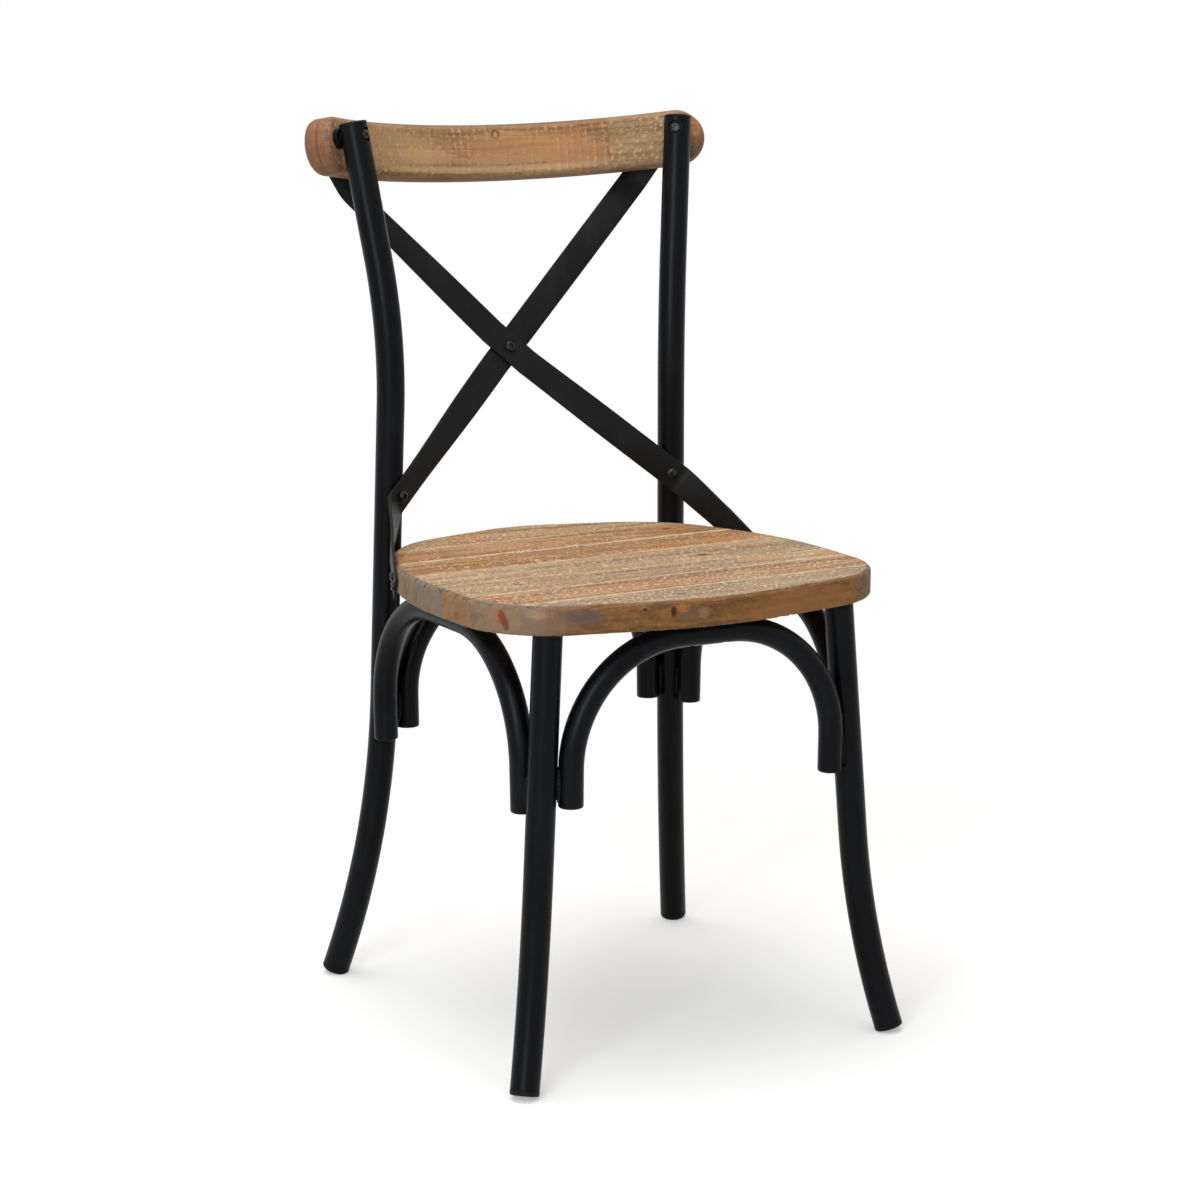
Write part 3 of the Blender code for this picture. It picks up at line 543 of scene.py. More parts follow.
class Wiring:
    """Shorthand for adding nodes to a tree."""

    def __init__(self, tree):
        self.tree = tree

    def put(self, socket, value):
        if isinstance(value, bpy.types.NodeSocket):
            self.tree.links.new(value, socket)
        else:
            socket.default_value = value

    def node(self, kind, settings=(), **inputs):
        made = self.tree.nodes.new("ShaderNode" + kind)
        for key, value in dict(settings).items():
            setattr(made, key, value)
        for key, value in inputs.items():
            self.put(made.inputs[key.replace("_", " ")], value)
        return made

    def math(self, operation, a, b=0.0):
        made = self.node("Math", {"operation": operation})
        self.put(made.inputs[0], a)
        self.put(made.inputs[1], b)
        return made.outputs[0]

    def times(self, product, *others):
        for other in others:
            product = self.math("MULTIPLY", product, other)
        return product

    def plus(self, total, *others):
        for other in others:
            total = self.math("ADD", total, other)
        return total

    def distance(self, a, b):
        return self.math("ABSOLUTE", self.math("SUBTRACT", a, b))

    def vector(self, operation, a, b=(0.0, 0.0, 0.0)):
        made = self.node("VectorMath", {"operation": operation})
        self.put(made.inputs[0], a)
        self.put(made.inputs[1], b)
        return made.outputs["Value" if operation == "LENGTH" else "Vector"]

    def noise(self, at, scale, detail=2.0, rough=0.5, warp=0.0):
        """Noise with one scale, or (along the grain, across it), or (x, y, z)."""
        scales = scale if isinstance(scale, tuple) else (scale,)
        stretched = self.vector("MULTIPLY", at, (*scales, scales[-1], scales[-1])[:3])
        made = self.node("TexNoise", Vector=stretched, Scale=1.0, Detail=detail, Roughness=rough,
                         Distortion=warp)
        return made.outputs[0]

    def wobble(self, size, at, scale, detail, rough=0.5):
        """Noise about 0."""
        return self.times(self.math("SUBTRACT", self.noise(at, scale, detail, rough), 0.5), size)

    def span(self, value, low, high, start=0.0, end=1.0):
        """Carry low to high over to start to end, eased, and hold them beyond."""
        made = self.node("MapRange", {"interpolation_type": "SMOOTHSTEP"}, Value=value,
                         From_Min=low, From_Max=high, To_Min=start, To_Max=end)
        return made.outputs[0]

    def ramp(self, value, stops):
        made = self.node("ValToRGB")
        self.put(made.inputs[0], value)
        elements = made.color_ramp.elements
        while len(elements) < len(stops):
            elements.new(0.5)
        for element, (place, colour) in zip(elements, stops):
            element.position = place
            element.color = (*colour, 1.0)
        return made.outputs[0]

    def mix(self, share, a, b, blend="MIX"):
        made = self.node("Mix", {"data_type": "RGBA", "blend_type": blend})
        self.put(made.inputs[0], share)
        for key, colour in ((6, a), (7, b)):
            self.put(made.inputs[key], colour if isinstance(colour, bpy.types.NodeSocket) else (*colour, 1.0))
        return made.outputs[2]

    def bump(self, height, distance, strength, under=None):
        made = self.node("Bump", Height=height, Distance=distance, Strength=strength)
        if under is not None:
            self.put(made.inputs["Normal"], under)
        return made.outputs[0]


class Paint(Wiring):
    """One material, built round its own shader."""

    def __init__(self, name):
        self.material = bpy.data.materials.new(name)
        self.material.use_nodes = True
        super().__init__(self.material.node_tree)
        self.shader = self.tree.nodes["Principled BSDF"]

    def object_place(self):
        return self.node("TexCoord").outputs["Object"]

    def set(self, **values):
        for key, value in values.items():
            self.put(self.shader.inputs[key.replace("_", " ")], value)
        return self.material


def powder_coat(name, colour, roughness, gloss):
    """Satin black powder coat: fine orange peel, faint rubbed patches and a little settled dust."""
    p = Paint(name)
    at = p.object_place()
    rub = p.span(p.noise(at, (22.0, 22.0, 9.0), 5.0, 0.65), 0.42, 0.72)
    facing = p.node("SeparateXYZ", Vector=p.node("NewGeometry").outputs["Normal"])
    settled = p.times(p.span(facing.outputs[2], 0.2, 1.0), p.span(p.noise(at, 160.0, 4.0, 0.6), 0.5, 0.8))
    tone = p.mix(rub, colour, scaled(colour, 1.5, 0.002))
    tone = p.mix(p.times(settled, 0.05), tone, (0.16, 0.155, 0.15))
    peel = p.bump(p.noise(at, 900.0), 0.00012, 0.55)
    grit = p.bump(p.noise(at, 2600.0, 1.0), 0.00005, 0.5, peel)
    rough = p.plus(p.times(rub, 0.08), p.times(settled, 0.12), roughness)
    return p.set(Base_Color=tone, Roughness=rough, Specular_IOR_Level=gloss, Normal=grit)


def bare_bolt(name):
    """Blackened steel, rubbed brighter where a key and hands have touched it."""
    p = Paint(name)
    at = p.object_place()
    rub = p.span(p.noise(at, 420.0, 4.0, 0.7), 0.45, 0.7)
    tone = p.mix(rub, (0.008, 0.008, 0.009), (0.040, 0.040, 0.043))
    grit = p.bump(p.noise(at, 1500.0, 3.0), 0.00008, 0.6)
    return p.set(Base_Color=tone, Roughness=p.span(rub, 0.0, 1.0, 0.28, 0.42), Metallic=0.6, Normal=grit)


def moulded(name):
    """Matt black plastic with a fine spark texture and pale scuffs."""
    p = Paint(name)
    at = p.object_place()
    scuff = p.span(p.noise(at, (700.0, 700.0, 90.0), 4.0, 0.7), 0.60, 0.78)
    tone = p.mix(scuff, (0.004, 0.004, 0.004), (0.016, 0.015, 0.015))
    spark = p.bump(p.noise(at, 3000.0), 0.00006, 0.7)
    return p.set(Base_Color=tone, Roughness=p.span(scuff, 0.0, 1.0, 0.52, 0.75), Specular_IOR_Level=0.12,
                 Normal=spark)


class Wood(Paint):
    """Sawn wood with its grain along X of the mesh's grain layer.

    tones are dark, middle, light and warm, and shift makes boards differ. A mark is (centre, radii, colour,
    strength, kind). Its kind is "knot" for a knot that the grain runs round, "ring" for its bare outline, or
    "stain" for a plain patch of colour: most of these are real stains, and some on the rail are painted
    shade.
    """

    def __init__(self, name, tones, shift, marks):
        super().__init__(name)
        self.dark, self.middle, self.light, self.warm = tones
        self.pale = scaled(self.light, 1.45, 0.07)
        self.deep = scaled(self.dark, 0.50)
        grain, end, rim, flank = (self.node("Attribute", {"attribute_name": layer})
                                  for layer in ("grain", "end", "rim", "flank"))
        self.end, self.rim, self.flank = (layer.outputs["Fac"] for layer in (end, rim, flank))
        raw = grain.outputs["Vector"]
        place = self.node("SeparateXYZ", Vector=raw)
        self.along, self.across = place.outputs[0], place.outputs[1]
        self.at = self.vector("ADD", raw, shift)
        self.edge_noise = self.wobble(1.1, self.at, (160.0, 320.0), 3.0, 0.6)
        drift = self.node("CombineXYZ", Y=self.wobble(0.016, self.at, (7.0, 14.0), 3.0))
        flow = self.vector("ADD", self.at, drift.outputs[0])
        self.marks = []
        for centre, radii, colour, strength, kind in marks:
            off = self.vector("SUBTRACT", raw, centre)
            away = self.vector("LENGTH", self.vector("MULTIPLY", off, tuple(1.0 / r for r in radii)))
            self.marks.append((away, colour, strength, kind))
            if kind != "plain_patch":
                push = self.node("VectorMath", {"operation": "SCALE"}, Scale=self.span(away, 3.2, 0.4))
                self.put(push.inputs[0], self.vector("MULTIPLY", off, (0.0, -0.75, -0.75)))
                flow = self.vector("ADD", flow, push.outputs[0])
        self.draw_grain(flow)

    def over(self, colour, *shares):
        """Lay a colour over the tone, by the product of the shares."""
        self.tone = self.mix(self.times(*shares), self.tone, colour)

    def lift(self, *shares):
        self.height = self.plus(self.height, self.times(*shares))

    def draw_grain(self, flow):
        broad = self.noise(flow, (1.5, 38.0), 5.0, 0.6, 0.3)
        thread = self.noise(flow, (9.0, 95.0), 4.0, 0.6, 0.3)
        fibre = self.noise(flow, (26.0, 760.0), 3.0, 0.6)
        self.streak = self.noise(flow, (4.0, 150.0), 4.0, 0.62, 0.2)
        self.tone = self.ramp(broad, [(0.34, self.dark), (0.50, self.middle), (0.64, self.light)])
        self.over(self.warm, self.span(self.noise(self.at, (9.0, 20.0), 3.0, 0.55), 0.46, 0.66), 0.75)
        self.over(scaled(self.dark, 0.85), self.span(thread, 0.52, 0.36, 0.0, 0.60))
        self.over(scaled(self.light, 1.12), self.span(thread, 0.54, 0.70, 0.0, 0.50))
        self.over(scaled(self.dark, 0.58), self.span(self.streak, 0.54, 0.36, 0.0, 0.72))
        self.over(scaled(self.dark, 0.66), self.span(fibre, 0.58, 0.36, 0.0, 0.34))
        self.height = self.plus(self.times(fibre, 0.25), self.times(self.streak, 0.35))

    def sawn_nap(self, zone):
        """Torn specks a few millimetres across that lean one way, denser in some patches than in others."""
        lean = self.node("VectorRotate", {"rotation_type": "Z_AXIS"}, Vector=self.at, Angle=0.55)
        torn = self.noise(lean.outputs[0], (300.0, 140.0, 210.0), 3.0, 0.62)
        bristle = self.noise(self.at, (200.0, 430.0), 3.0, 0.6)
        patchy = self.span(self.noise(self.at, (14.0, 26.0), 3.0, 0.6), 0.34, 0.60, 0.35, 1.0)
        furry = self.times(patchy, zone, self.span(self.flank, 0.9, 0.1, 0.22, 1.0))
        self.over(self.pale, self.span(torn, 0.53, 0.68), furry, 0.76)
        self.over(self.pale, self.span(bristle, 0.55, 0.70), furry, 0.56)
        self.over(self.deep, self.span(torn, 0.44, 0.30), furry, 0.62)
        self.over(self.deep, self.span(bristle, 0.40, 0.28), furry, 0.56)
        self.lift(self.plus(torn, bristle), furry, 0.42)

    def saw_marks(self, strength, zone):
        """Broken pale lines across the grain, slightly bent and unevenly spaced, each beside a groove."""
        bend = self.times(self.across, self.across, 2.4)
        pitch = self.times(self.noise(self.along, 9.0, 1.0), 0.030)
        sway = self.times(self.noise(self.at, (50.0, 70.0)), 0.0035)
        turns = self.times(self.plus(self.along, bend, pitch, sway), 2 * math.pi / SAW_PITCH)
        wave = self.math("SINE", turns)
        broken = self.span(self.noise(self.at, (170.0, 260.0), 3.0, 0.7), 0.40, 0.64)
        patchy = self.span(self.noise(self.at, (14.0, 34.0)), 0.34, 0.56)
        where = self.times(patchy, strength, zone, self.span(self.flank, 0.6, 0.1))
        cut = self.times(self.span(wave, 0.30, 1.0), broken, where)
        self.over(self.pale, cut, 0.55)
        self.lift(cut, 0.5)
        self.lift(self.span(wave, -0.2, -1.0), where, -0.16)

    def cracks_and_joint_highlights(self, joints):
        """Cracks along the seat's joints, each (place, width, strength), with a broken painted highlight
        beside each, for the boards' eased edges.
        """
        across = self.plus(self.times(self.across, math.cos(SEAT_JOINT_SKEW)),
                           self.times(self.along, -math.sin(SEAT_JOINT_SKEW)))
        uneven = self.plus(across, self.wobble(0.007, self.at, 60.0, 4.0, 0.7))
        broken_highlight = self.span(self.noise(self.at, (75.0, 240.0), 4.0, 0.65), 0.34, 0.60, 0.12, 1.0)
        gappy = self.span(self.noise(self.at, (40.0, 90.0), 3.0, 0.6), 0.44, 0.60, 0.0, 0.75)
        for spot, width, strength in joints:
            # Painted highlight: a pale broken line beside the joint stands for the light on the boards' eased
            # edges.
            band = self.span(self.distance(uneven, spot + JOINT_HIGHLIGHT_OFFSET), width, width * 0.2, 0.0, strength)
            self.over(JOINT_HIGHLIGHT, band, broken_highlight, self.span(self.flank, 0.5, 0.1))
            self.over(self.deep, self.span(self.distance(across, spot), 0.0010, 0.0003), gappy)

    def end_grain(self, tones):
        pale, dark, warm = tones
        off = self.vector("MULTIPLY", self.vector("ADD", self.at, PITH), (0.0, 1.0, 1.0))
        depth = self.vector("LENGTH", off)
        wave = self.plus(self.times(depth, 620.0), self.times(self.noise(self.at, 60.0, 3.0), 7.0))
        rings = self.span(self.math("SINE", wave), -0.6, 1.0)
        smeared = self.span(self.noise(self.at, (45.0, 70.0, 55.0), 4.0, 0.6, 0.5), 0.46, 0.64)
        speck = self.span(self.noise(self.at, 700.0), 0.45, 0.6)
        patchy = self.span(self.noise(self.at, (16.0, 30.0), 3.0), 0.45, 0.62)
        cut = pale
        for colour, share, strength in ((dark, rings, 0.26), (scaled(dark, 0.72), smeared, 0.55),
                                        (scaled(dark, 0.5), speck, 0.22), (warm, patchy, 0.75)):
            cut = self.mix(self.times(share, strength), cut, colour)
        share = self.span(self.plus(self.end, self.times(self.edge_noise, 0.2)), 0.42, 0.72)
        self.over(cut, share)
        self.lift(share, rings, 0.3)

    def draw_marks(self):
        for away, colour, strength, kind in self.marks:
            ragged = self.plus(away, self.edge_noise)
            if kind == "ring":
                self.over(self.warm, self.span(ragged, 2.4, 0.6, 0.0, 0.5))
                self.over(colour, self.span(self.distance(ragged, 1.0), 0.55, 0.15), strength)
                continue
            if kind == "knot":
                halo = tuple(w * 0.8 + c * 0.2 for w, c in zip(self.warm, colour))
                self.over(halo, self.span(ragged, 2.3, 0.8, 0.0, 0.75 * strength))
                bands = self.span(self.math("SINE", self.times(away, 9.0)), 0.0, 1.0)
                self.over(scaled(self.dark, 0.6), bands, self.span(away, 2.4, 0.9), 0.35 * strength)
                self.lift(self.span(ragged, 1.2, 0.7), -0.5)
            self.over(colour, self.span(ragged, 1.25, 0.55, 0.0, strength))

    def wear_rim(self):
        """Rubbed edges with small dirty chips, more of them towards the right end."""
        self.over(RUBBED, self.rim, self.span(self.noise(self.at, (50.0, 90.0), 4.0, 0.65), 0.40, 0.62), 0.42)
        chips = self.span(self.noise(self.at, 150.0, 4.0, 0.7), 0.52, 0.60)
        self.over(CHIPPED, chips, self.rim, self.span(self.along, -0.10, -0.18, 0.25, 0.85))


def wood(name, tones, ends, shift, marks, saw, nap=(1.0, 1.0), joints=(), tint=None):
    """One board's wood. saw is the strength of the saw's marks, and where they fade in along the grain.

    nap is the roughness there, and before it. tint paints shade on the flanks, which take less light than the
    top.
    """
    p = Wood(name, tones, shift, marks)
    strength, *fade = saw
    p.sawn_nap(p.span(p.along, *fade, nap[1], nap[0]))
    p.saw_marks(strength, p.span(p.along, *fade))
    if joints:
        p.cracks_and_joint_highlights(joints)
    # Painted shade: the flanks' colour is multiplied by tint, for the dimmer light they get than the top.
    if tint:
        p.over(p.mix(1.0, p.tone, tint, "MULTIPLY"), p.span(p.flank, 0.12, 0.5))
    p.end_grain(ends)
    p.draw_marks()
    p.wear_rim()
    return p.set(Base_Color=p.tone, Roughness=p.span(p.streak, 0.3, 0.7, 0.80, 0.62), Specular_IOR_Level=0.22,
                 Normal=p.bump(p.height, 0.0012, 0.8))


# Legs, posts and arches

steel = powder_coat("powder_coat", (0.0020, 0.0022, 0.0029), 0.29, 0.090)
# The straps' coat is painted lighter and less blue than the tubes': painted light, for the light and the
# wood's warm reflection that their flat faces catch.
strap_coat_painted_light = powder_coat("powder_coat_flat_painted_light", (0.0058, 0.0058, 0.0060), 0.42, 0.11)
bolt_steel = bare_bolt("blackened_steel")
plastic = moulded("moulded_plastic")


def foot_line(centre, side, splay_height):
    slope = centre(side, 0.0) - centre(side, 2 * GLIDE_HEAD)
    tilt = slope.angle(-UP)
    face = (LEG_RADIUS - PLUG_RIM) * math.sin(tilt) + PLUG_RIM * (1.0 - math.cos(tilt)) - GLIDE_WORN
    start = face + (GAP + GLIDE_HEAD) * math.cos(tilt)
    return [centre(side, z) for z in spaced(start, splay_height, 22)]


post_tubes = {}
for word, side in SIDES.items():
    line = foot_line(leg_centre, side, LEG_SPLAY_HEIGHT)
    line += [leg_centre(side, z) for z in spaced(LEG_SPLAY_HEIGHT, seat_underside, 6)]
    top = leg_centre(side, seat_underside)
    line.append(top + (line[-1] - top).normalized() * (PLUG_HEAD + 2 * GAP + LEG_RADIUS * LEG_LEAN_X))
    open_tube("leg_tube_" + word, line, steel, ["front_leg_" + word])
    plug("glide_front_" + word, line, GLIDE_HEAD, PLUG_STEM, floor=True)
    plug("leg_plug_" + word, line[::-1], PLUG_HEAD, PLUG_STEM)
    line = foot_line(post_centre, side, POST_SPLAY_HEIGHT)
    flare_end = POST_FLARE_START + POST_FLARE_RUN
    for low, high, steps in ((POST_SPLAY_HEIGHT, POST_FLARE_START, 8), (POST_FLARE_START, flare_end, 20),
                             (flare_end, post_end_z, 5), (post_end_z, post_end_z, 1)):
        line += [post_centre(side, z) for z in spaced(low, high, steps)]
    post_tubes[side] = open_tube("post_tube_" + word, line, steel, ["rear_post_" + word])
    plug("glide_rear_" + word, line, GLIDE_HEAD, PLUG_STEM, floor=True)
    plug("post_cap_" + word, line[::-1], POST_CAP_HEAD, POST_CAP_STEM, PLUG_CROWN)


def arch_leg(centre, side, way, outward, end):
    """The foot and the unrounded top corner of an arch's line beside a leg."""
    bend_z = arch_axis_z - ARCH_BEND
    axis = centre(side, seat_underside) - centre(side, bend_z)
    upright = UP + outward * ARCH_LEAN
    closing = (axis / axis.z - upright).dot(way)
    square = (way - axis * way.dot(axis) / axis.length_squared).normalized()
    start = centre(side, bend_z) + square * (LEG_RADIUS + ARCH_RADIUS + GAP + ARCH_BEND * closing ** 2 / 2)
    touch = start + axis * (bend_z - start.z) / axis.z
    return touch + upright * (end - bend_z), touch + upright * (arch_axis_z - bend_z), centre, side


def weld(name, foot, top, centre, side):
    """Two lumpy fillet beads in the grooves between an arch's foot and its leg."""
    upright = (top - foot) / (top.z - foot.z)
    for letter, sign in (("a", 1), ("b", -1)):
        points = []
        for i in range(BEAD_STEPS):
            z = foot.z + BEAD_START + BEAD_LENGTH * i / (BEAD_STEPS - 1)
            leg = centre(side, z)
            toward = foot + upright * (z - foot.z) - leg
            toward.z = 0.0
            groove = LEG_RADIUS + (toward.length - LEG_RADIUS - ARCH_RADIUS) / 2 + GAP
            toward.normalize()
            points.append(leg + toward * groove + UP.cross(toward) * sign * BEAD_ASIDE)

        def lumps(i, angle):
            swell = math.sin(math.pi * (i + 0.5) / BEAD_STEPS) ** 0.35 * (1.0 + 0.10 * math.sin(i * 1.9))
            return BEAD_RADIUS * swell + ripple(points[i] + UP * angle, BEAD_LUMP_SIZE, BEAD_LUMP_HEIGHT)

        work, rings = swept(points, lumps, 14)
        work.faces.new(rings[0])
        work.faces.new(rings[-1])
        finish_piece(name + "_weld_" + letter, work, steel, [])


def make_arch(name, legs):
    (foot_a, top_a), (foot_b, top_b) = legs[0][:2], legs[1][:2]
    line = filleted([foot_a, top_a, top_b, foot_b], [ARCH_BEND, ARCH_BEND], math.radians(4))
    near_ends = line[0].lerp(line[1], ARCH_END_SHARE), line[-1].lerp(line[-2], ARCH_END_SHARE)
    line = [line[0], near_ends[0]] + line[1:-1] + [near_ends[1], line[-1]]
    work, rings = swept(line, ARCH_RADIUS)
    close_ends(work, rings, ARCH_RIM)
    arch = finish_piece(name + "_tube", work, steel, [name])
    for number, leg in enumerate(legs):
        weld("%s_%d" % (name, number), *leg)
    run = (top_b - top_a).normalized()
    reach = (top_b - top_a).length / 2 - ARCH_BEND - ARCH_SCREW_INSET
    floor_z = arch_axis_z - ARCH_RADIUS - GAP
    wall_z = arch_axis_z + ARCH_RADIUS - LEG_WALL
    holes = []
    for letter, way in (("a", -1), ("b", 1)):
        spot = (top_a + top_b) / 2 + run * way * reach
        holes.append((Vector((spot.x, spot.y, floor_z)), UP, wall_z - floor_z, ARCH_SCREW_ACCESS))
        spot.z = wall_z - GAP
        fastener(name + "_screw_" + letter, frame_along(spot, -UP), SCREW_RADIUS,
                 LEG_WALL + 3 * GAP + SCREW_BITE, SCREW_HEAD, SCREW_TIP)
    drilled(arch, holes)


for name, centre, end, turn, toward in (("front_arch", leg_centre, FRONT_ARCH_END, FRONT_ARCH_TURN, -1),
                                        ("rear_arch", post_centre, REAR_ARCH_END, REAR_ARCH_TURN, 1)):
    legs = []
    for side in (-1, 1):
        way = Vector((-side * math.cos(turn), toward * math.sin(turn), 0.0))
        legs.append(arch_leg(centre, side, way, -FRONT * toward, end))
    make_arch(name, legs)
for word, side in SIDES.items():
    legs = []
    for centre, end, turn, toward in ((leg_centre, SIDE_ARCH_FRONT_END, SIDE_ARCH_FRONT_TURN, 1),
                                      (post_centre, SIDE_ARCH_REAR_END, SIDE_ARCH_REAR_TURN, -1)):
        way = Vector((side * math.sin(turn), toward * math.cos(turn), 0.0))
        legs.append(arch_leg(centre, side, way, ACROSS * side, end))
    make_arch("side_arch_" + word, legs)


# Rail and straps

class RailFrame:
    """Where the rail's front curves: its centre, and its own rise and depth."""

    def __init__(self):
        self.rise = Vector((0.0, math.sin(RAIL_LEAN), math.cos(RAIL_LEAN)))
        self.depth = Vector((0.0, math.cos(RAIL_LEAN), -math.sin(RAIL_LEAN)))
        bolt = post_centre(1, RAIL_BOLT_Z)
        strip = 2 * RAIL_HALF_LENGTH / RAIL_STRIPS
        rim_rise = BUSHING_FLANGE_RADIUS ** 2 / (2 * RAIL_RADIUS) + strip ** 2 / (8 * RAIL_RADIUS)
        reach = RAIL_RADIUS - LEG_RADIUS - BUSHING_FLANGE - 2 * GAP - rim_rise
        self.bolt_angle = math.asin(bolt.x / reach)
        level = bolt - self.outward(self.bolt_angle) * reach
        self.centre = level - self.rise * (RAIL_HEIGHT / 2 - RAIL_BOLT_DROP)

    def outward(self, angle):
        return ACROSS * math.sin(angle) + self.depth * math.cos(angle)

    def point(self, angle, distance, height):
        return self.centre + self.outward(angle) * (RAIL_RADIUS + distance) + self.rise * height


def seat_line(step):
    whole = list(SEAT_OUTLINE) + [(-x, y, r) for x, y, r in reversed(SEAT_OUTLINE[1:-1])]
    corners = [Vector((x, y, 0.0)) for x, y, r in whole]
    looped = [corners[-1]] + corners + [corners[0]]
    return filleted(looped, [r for x, y, r in whole], step)[1:-1]


def seat_edge(side, y):
    """A point on the seat's side edge, and the way out of it."""
    around = [p for p in seat_line(math.radians(9)) if p.x > 0.0]
    for a, b in zip(around, around[1:]):
        if a.y >= y > b.y:
            spot = a.lerp(b, (a.y - y) / (a.y - b.y))
            outward = (b - a).cross(-UP).normalized()
            if outward.x < 0.0:
                outward = -outward
            return Vector((side * spot.x, spot.y, 0.0)), Vector((side * outward.x, outward.y, 0.0))


def post_contact(side, start):
    """Where a strap that comes from start lies on a post's front, and the way that it faces there."""
    middle = post_centre(side, STRAP_POST_Z)
    axis = (post_centre(side, POST_FLARE_START) - middle).normalized()
    reach = LEG_RADIUS + STRAP_THICKNESS / 2 + GAP
    inward = start - middle
    inward -= axis * inward.dot(axis)
    share = reach / inward.length
    aside = axis.cross(inward).normalized()
    if aside.dot(FRONT) < 0.0:
        aside = -aside
    face = inward.normalized() * share + aside * math.sqrt(1.0 - share * share)
    return middle + face * reach, face


class Strap:
    """A strap's line from the rail to the seat, and the way that it faces along it."""

    def __init__(self, rail, side, layer):
        cross_face = Vector((0.0, -math.cos(CROSS_LEAN), math.sin(CROSS_LEAN)))
        cross = CROSS + cross_face * layer * (STRAP_THICKNESS + GAP) / 2
        fall = Vector((-side * math.sin(CROSS_SLANT), -math.cos(CROSS_SLANT) * math.sin(CROSS_LEAN),
                       -math.cos(CROSS_SLANT) * math.cos(CROSS_LEAN)))
        above = cross - fall * CROSS_FLAT
        below = cross + fall * CROSS_FLAT
        angle = side * math.asin(STRAP_RAIL_X / (RAIL_RADIUS + RAIL_THICKNESS))
        off_rail = RAIL_THICKNESS + STRAP_THICKNESS / 2 + GAP
        at_rail = rail.point(angle, off_rail, STRAP_RAIL_RISE - RAIL_HEIGHT / 2)
        rail_face = -rail.outward(angle)
        at_post, post_face = post_contact(-side, below)
        edge, outward = seat_edge(-side, STRAP_SEAT_Y)
        at_seat = edge + outward * (STRAP_THICKNESS / 2 + GAP)
        at_seat.z = SEAT_TOP - STRAP_SEAT_DROP
        seat_face = -outward
        down = (at_post - below).normalized()
        knee = at_post + down * STRAP_KNEE_RUN
        along_seat = at_seat - knee
        along_seat = (along_seat - seat_face * along_seat.dot(seat_face)).normalized()
        ankle = at_seat - along_seat * STRAP_SEAT_RUN
        knee_reach = STRAP_KNEE_BEND * math.tan(down.angle(ankle - knee) / 2)
        tail = at_seat + along_seat * STRAP_SEAT_TAIL
        climb = (at_rail - above).normalized()
        along_rail = (climb - rail_face * climb.dot(rail_face)).normalized()
        shoulder = at_rail - along_rail * STRAP_RAIL_RUN
        head = at_rail + along_rail * STRAP_RAIL_TAIL
        radii = [STRAP_RAIL_BEND, CROSS_BEND, CROSS_BEND, STRAP_KNEE_BEND, STRAP_KNEE_BEND]
        self.line = filleted([head, shoulder, above, below, knee, ankle, tail], radii, math.radians(3))
        self.marks = [(head, rail_face), (shoulder, rail_face), (above, cross_face), (below, cross_face),
                      (at_post - down * STRAP_WIDTH / 2, post_face), (knee - down * knee_reach, post_face),
                      (ankle, seat_face), (tail, seat_face)]
        self.faces = {"rail": rail_face, "cross": cross_face, "post": post_face, "seat": seat_face}
        self.spots = {"rail": at_rail, "cross": cross, "post": at_post, "seat": at_seat}
        self.screw_runs = {"rail": along_rail * STRAP_RAIL_SCREWS, "seat": along_seat * STRAP_SEAT_SCREWS}

    def face_at(self, point):
        best = None
        for (a, face_a), (b, face_b) in zip(self.marks, self.marks[1:]):
            run = b - a
            share = min(1.0, max(0.0, (point - a).dot(run) / run.length_squared))
            off = (a + run * share - point).length
            if best is None or off < best[0]:
                eased = share * share * (3.0 - 2.0 * share)
                best = (off, face_a.lerp(face_b, eased).normalized())
        return best[1]


def strap_piece(name, strap):
    """The strap's loft, with its long edges softened by the coating."""
    line = []
    for a, b in zip(strap.line, strap.line[1:]):
        steps = max(1, round((b - a).length / STRAP_STEP))
        line += [a.lerp(b, share) for share in spaced(0.0, 1.0, steps)]
    line.append(strap.line[-1])
    section = []
    for sx, sy in ((1, 1), (1, -1), (-1, -1), (-1, 1)):
        for k in range(4) if sx * sy > 0 else range(3, -1, -1):
            angle = math.pi / 2 * k / 3
            section.append((sx * (STRAP_WIDTH / 2 - STRAP_EDGE_RADIUS * (1 - math.sin(angle))),
                            sy * (STRAP_THICKNESS / 2 - STRAP_EDGE_RADIUS * (1 - math.cos(angle)))))
    work = bmesh.new()
    rings = []
    for i, point in enumerate(line):
        way = way_at(line, i)
        face = strap.face_at(point)
        face = (face - way * face.dot(way)).normalized()
        across = way.cross(face)
        rings.append([work.verts.new(point + across * x + face * y) for x, y in section])
    for a, b in zip(rings, rings[1:]):
        skin(work, a, b)
    work.faces.new(rings[0])
    work.faces.new(rings[-1])
    finish_piece(name + "_bar", work, strap_coat_painted_light, [name], STRAP_SHARP)


rail = RailFrame()
front_strap = Strap(rail, SIDES["right"], 1)
rear_strap = Strap(rail, SIDES["left"], -1)
on_strap = STRAP_THICKNESS / 2 + GAP
for name, strap, word, other in (("strap_front", front_strap, "right", "left"),
                                 ("strap_rear", rear_strap, "left", "right")):
    strap_piece(name, strap)
    for end, place_word in (("rail", word), ("seat", other)):
        face = -strap.faces[end]
        for letter, way in (("a", -0.5), ("b", 0.5)):
            spot = strap.spots[end] + strap.screw_runs[end] * way
            fastener("%s_screw_%s_%s" % (end, place_word, letter), frame_along(spot + face * on_strap, face),
                     SCREW_RADIUS, STRAP_THICKNESS + 2 * GAP + SCREW_BITE, SCREW_HEAD, SCREW_TIP)
    face = strap.faces["post"]
    fastener("strap_bolt_" + other, frame_along(strap.spots["post"] + face * on_strap, face), BOLT_RADIUS,
             BOLT_GRIP, BOLT_HEAD)
face = front_strap.faces["cross"]
stack = 2 * STRAP_THICKNESS + 3 * GAP
fastener("cross_bolt", frame_along(front_strap.spots["cross"] + face * on_strap, face), BOLT_RADIUS,
         stack + NUT_HEIGHT + BOLT_HEAD[1] / 2, BOLT_HEAD)
